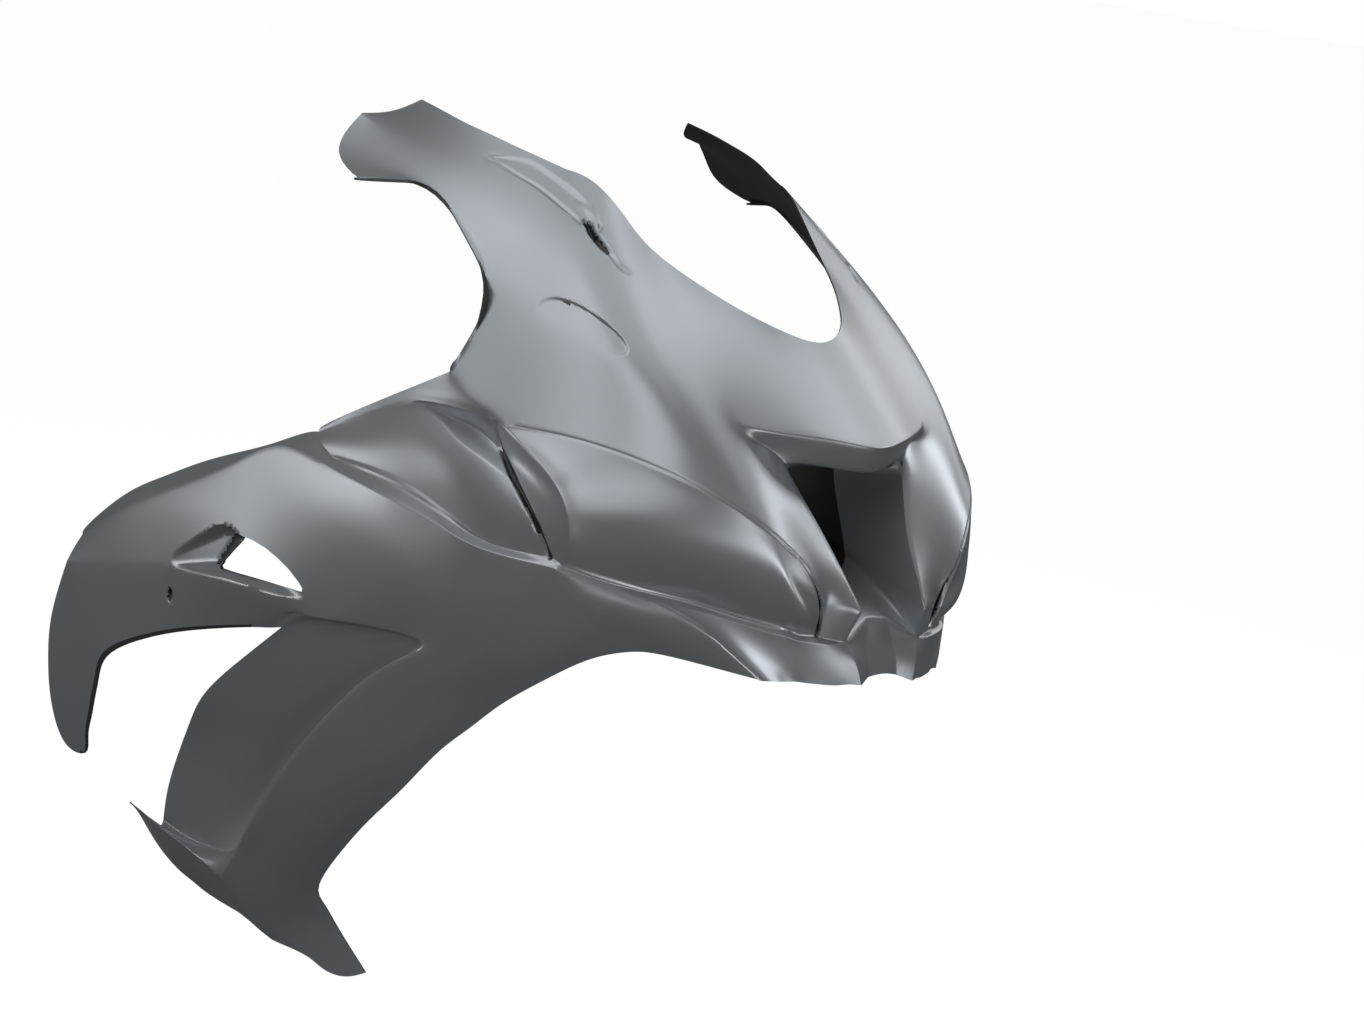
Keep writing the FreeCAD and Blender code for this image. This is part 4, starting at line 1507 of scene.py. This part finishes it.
    def joined(self, outer: Surface, inner: Surface) -> bpy.types.Object:
        """Both skins and the rims between them, as one closed mesh.

        Args:
            outer: The painted skin.
            inner: The inner skin. Both are given up.

        Returns:
            The object that carries the mesh.
        """
        outer.body.verts.index_update()
        inner.body.verts.index_update()
        count = len(outer.body.verts)
        front = [[vertex.index for vertex in face.verts] for face in outer.body.faces]
        back = [[vertex.index + count for vertex in reversed(face.verts)] for face in inner.body.faces]
        rims = rims_between(outer, inner)
        points = [tuple(vertex.co) for skin in (outer, inner) for vertex in skin.body.verts]
        places = [face.material_index for face in outer.body.faces]
        places += [Skin.RAW_AND_SHADE.value] * (len(back) + len(rims))
        mesh = self.painted(self.name, points, front + back + rims, places)
        outer.body.free()
        inner.body.free()
        return placed(self.name, mesh)

    def painted(self, name: str, points: Line, faces: list[list[int]], places: list[int]) -> bpy.types.Mesh:
        """A mesh in the shell's finishes.

        Args:
            name: The mesh's name.
            points: Its vertices, in metres.
            faces: The corners of each face.
            places: The material place of each face.

        Returns:
            The mesh.
        """
        mesh = bpy.data.meshes.new(name)
        for finish in self.finishes:
            mesh.materials.append(finish)
        mesh.from_pydata(points, [], faces)
        mesh.polygons.foreach_set("material_index", places)
        mesh.update()
        return mesh

    def remake(self, piece: bpy.types.Object) -> None:
        """Make the mesh what its modifiers make of it.

        Args:
            piece: The object that carries the mesh.
        """
        old = piece.data
        piece.data = remade(piece)
        piece.modifiers.clear()
        bpy.data.meshes.remove(old)
        piece.data.name = self.name

    def bore(self, piece: bpy.types.Object) -> None:
        """Cut the side vent and the fastener hole through both skins.

        Args:
            piece: The object that carries the mesh.
        """
        turns = [2 * math.pi * step / self.circle_steps for step in range(self.circle_steps)]
        (x, z), radius = self.bolt_hole, self.bolt_radius
        circle = [(x + radius * math.cos(turn), z + radius * math.sin(turn)) for turn in turns]
        for outline in (list(self.vent_hole), circle):
            cutter = self.cutter(outline)
            modifier = piece.modifiers.new("bore", "BOOLEAN")
            modifier.operation = "DIFFERENCE"
            modifier.solver = "MANIFOLD"
            modifier.object = cutter
            self.remake(piece)
            bpy.data.objects.remove(cutter)

    def shade(self, piece: bpy.types.Object) -> None:
        """Smooth the shading, led by the large faces, so that the rounded creases stay narrow.

        Args:
            piece: The object that carries the mesh.
        """
        piece.data.polygons.foreach_set("use_smooth", [True] * len(piece.data.polygons))
        piece.data.set_sharp_from_angle(angle=math.radians(self.sharp_from))
        modifier = piece.modifiers.new("shading", "WEIGHTED_NORMAL")
        modifier.mode = "FACE_AREA"
        modifier.keep_sharp = True
        self.remake(piece)

    def cutter(self, outline: list[tuple[float, float]]) -> bpy.types.Object:
        """A prism that is long enough to pass through the right-hand side only.

        Args:
            outline: Its section in the side plane, in millimetres.

        Returns:
            The cutting object.
        """
        points = [(x * MM, y * MM, z * MM) for y in self.cutter_ends for x, z in outline]
        size = len(outline)
        sides = [[i, (i + 1) % size, (i + 1) % size + size, i + size] for i in range(size)]
        ends = [list(range(size))[::-1], list(range(size, 2 * size))]
        mesh = self.painted("cutter", points, sides + ends, [Skin.RAW_AND_SHADE.value] * (size + 2))
        body = bmesh.new()
        body.from_mesh(mesh)
        bmesh.ops.recalc_face_normals(body, faces=body.faces)
        body.to_mesh(mesh)
        body.free()
        return placed("cutter", mesh)


@dataclass(frozen=True)
class Finish:
    """A surface finish."""

    name: str
    colour: Colour
    roughness: float
    metallic: float = 0.0

    def material(self) -> bpy.types.Material:
        """The finish as a new material.

        Returns:
            The material.
        """
        material = bpy.data.materials.new(self.name)
        material.use_nodes = True
        shader = material.node_tree.nodes["Principled BSDF"]
        shader.inputs["Base Color"].default_value = (*self.colour, 1)
        shader.inputs["Roughness"].default_value = self.roughness
        shader.inputs["Metallic"].default_value = self.metallic
        return material


SATIN_PRIMER = Finish("grey_primer", (0.315, 0.34, 0.365), 0.33, 0.6)
# Black of the raw inner laminate, also used as painted shade in slots, gaps and the duct's rear
BLACK_LAMINATE_AND_SHADE = Finish("raw_laminate_and_painted_shade", (0.012, 0.012, 0.013), 0.5)


@dataclass(frozen=True)
class SoftBox:
    """A square lamp aimed at the fairing, with its bearing and height in degrees."""

    name: str
    bearing: float
    height: float
    size: float
    power: float

    def hang(self, reach: float) -> None:
        """Put the lamp into the scene.

        Args:
            reach: How far it hangs from the middle of the fairing, in metres.
        """
        data = bpy.data.lights.new(self.name, "AREA")
        data.shape = "SQUARE"
        data.size = self.size
        data.energy = self.power
        flat, up = math.radians(self.bearing), math.radians(self.height)
        way = Vector((math.cos(flat) * math.cos(up), math.sin(flat) * math.cos(up), math.sin(up)))
        lamp = placed(self.name, data)
        lamp.location = way * reach
        lamp.rotation_euler = (-way).to_track_quat("-Z", "Y").to_euler()


class Working(Enum):
    """How a shader makes one number of two."""

    PRODUCT = "MULTIPLY"
    LARGER = "MAXIMUM"

    def of(self, tree: bpy.types.NodeTree, first: bpy.types.NodeSocket,
           second: bpy.types.NodeSocket | float) -> bpy.types.NodeSocket:
        """Add the working to a shader.

        Args:
            tree: The shader's nodes.
            first: One number.
            second: The other number, from a node or fixed.

        Returns:
            The socket with the result.
        """
        node = tree.nodes.new("ShaderNodeMath")
        node.operation = self.value
        tree.links.new(first, node.inputs[0])
        if isinstance(second, float):
            node.inputs[1].default_value = second
        else:
            tree.links.new(second, node.inputs[1])
        return node.outputs["Value"]


@dataclass
class Studio:
    """Camera, lamps and white surroundings, in metres."""

    spot: Point = (2.03094, -1.71709, 0.64451)
    right: Point = (0.64925457, 0.74314483, 0.16187734)
    up: Point = (-0.27018796, 0.02640489, 0.96244545)
    ahead: Point = (-0.710962, 0.66860942, -0.21793228)
    focal_pixels: float = 2836.0
    picture_pixels: float = 1364.0
    sensor: float = 36.0
    sight: float = 50.0
    reach: float = 1.9
    lamps: tuple[SoftBox, ...] = (
        SoftBox("front", 0, 5, 0.7, 3.6),
        SoftBox("front_spark", -28, 2, 0.3, 3.5),
        SoftBox("right_front", -60, 25, 0.7, 2.4),
        SoftBox("right_front_high", -60, 45, 0.7, 2.8),
        SoftBox("right", -90, 25, 0.7, 2.4),
        SoftBox("right_high", -105, 52, 1.1, 6.5),
        SoftBox("right_behind", -120, 25, 0.7, 1.8),
        SoftBox("right_behind_low", -140, -5, 0.35, 2.2),
        SoftBox("left_top", 60, 65, 0.9, 4.2),
        SoftBox("left_high", 90, 45, 0.9, 3.4),
        SoftBox("left", 90, 25, 0.7, 2.4),
        SoftBox("left_spark", 60, 38, 0.25, 2.6),
        SoftBox("top", -60, 84, 1.3, 5.5),
    )
    fill: float = 0.05
    reflected: float = 0.06
    floor_half: float = 60.0
    floor_drop: float = 0.001
    floor_shade: float = 0.12
    floor_glow: float = 0.97

    def place_camera(self) -> None:
        """Place the camera as the photograph was taken."""
        data = bpy.data.cameras.new("camera")
        data.lens = self.focal_pixels / self.picture_pixels * self.sensor
        data.sensor_width = self.sensor
        data.clip_end = self.sight
        camera = placed("camera", data)
        turn = Matrix((self.right, self.up, tuple(-part for part in self.ahead))).transposed().to_4x4()
        camera.matrix_world = Matrix.Translation(Vector(self.spot)) @ turn
        bpy.context.scene.camera = camera

    def light(self) -> None:
        """Hang the soft boxes and set up a plain white surround."""
        for lamp in self.lamps:
            lamp.hang(self.reach)
        world = bpy.data.worlds.new("surround")
        world.use_nodes = True
        bpy.context.scene.world = world
        tree = world.node_tree
        back = tree.nodes["Background"]
        back.inputs["Color"].default_value = (1, 1, 1, 1)
        tree.links.new(self.seen(tree, self.fill, 1.0), back.inputs["Strength"])

    def seen(self, tree: bpy.types.NodeTree, plain: float, white: float) -> bpy.types.NodeSocket:
        """A strength for the eye that is dimmer in reflections and plain for everything else.

        Args:
            tree: The shader's nodes.
            plain: The strength that lights the scene.
            white: The strength that the eye sees.

        Returns:
            The socket with the strength.
        """
        rays = tree.nodes.new("ShaderNodeLightPath").outputs
        dimmed = Working.PRODUCT.of(tree, rays["Is Glossy Ray"], self.reflected)
        direct = Working.LARGER.of(tree, rays["Is Camera Ray"], dimmed)
        share = Working.LARGER.of(tree, direct, rays["Is Transmission Ray"])
        mix = tree.nodes.new("ShaderNodeMix")
        mix.inputs["A"].default_value = plain
        mix.inputs["B"].default_value = white
        tree.links.new(share, mix.inputs["Factor"])
        return mix.outputs["Result"]

    def lay_floor(self) -> None:
        """Lay a floor that is white to the eye except where the fairing shades it."""
        half = self.floor_half
        mesh = bpy.data.meshes.new("floor")
        corners = [(-half, -half, 0), (half, -half, 0), (half, half, 0), (-half, half, 0)]
        mesh.from_pydata(corners, [], [(0, 1, 2, 3)])
        material = Finish("pale_floor", (self.floor_shade,) * 3, 1.0).material()
        tree = material.node_tree
        shader = tree.nodes["Principled BSDF"]
        shader.inputs["Specular IOR Level"].default_value = 0.0
        shader.inputs["Emission Color"].default_value = (1, 1, 1, 1)
        tree.links.new(self.seen(tree, 0.0, self.floor_glow), shader.inputs["Emission Strength"])
        mesh.materials.append(material)
        floor = placed("floor", mesh)
        floor.location.z = START_BOUNDS[0][2] - self.floor_drop


def main() -> None:
    """Build the dressed fairing and its studio."""
    logging.basicConfig(level=logging.INFO, format="%(message)s")
    bpy.context.scene.view_settings.view_transform = "Standard"
    piece = Shell(finishes=(SATIN_PRIMER.material(), BLACK_LAMINATE_AND_SHADE.material())).build()
    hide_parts("fairing")
    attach(piece, "root")
    log.info("%s: %d triangles", piece.name, len(piece.data.loop_triangles))
    studio = Studio()
    studio.place_camera()
    studio.light()
    studio.lay_floor()


if __name__ == "__main__":
    main()
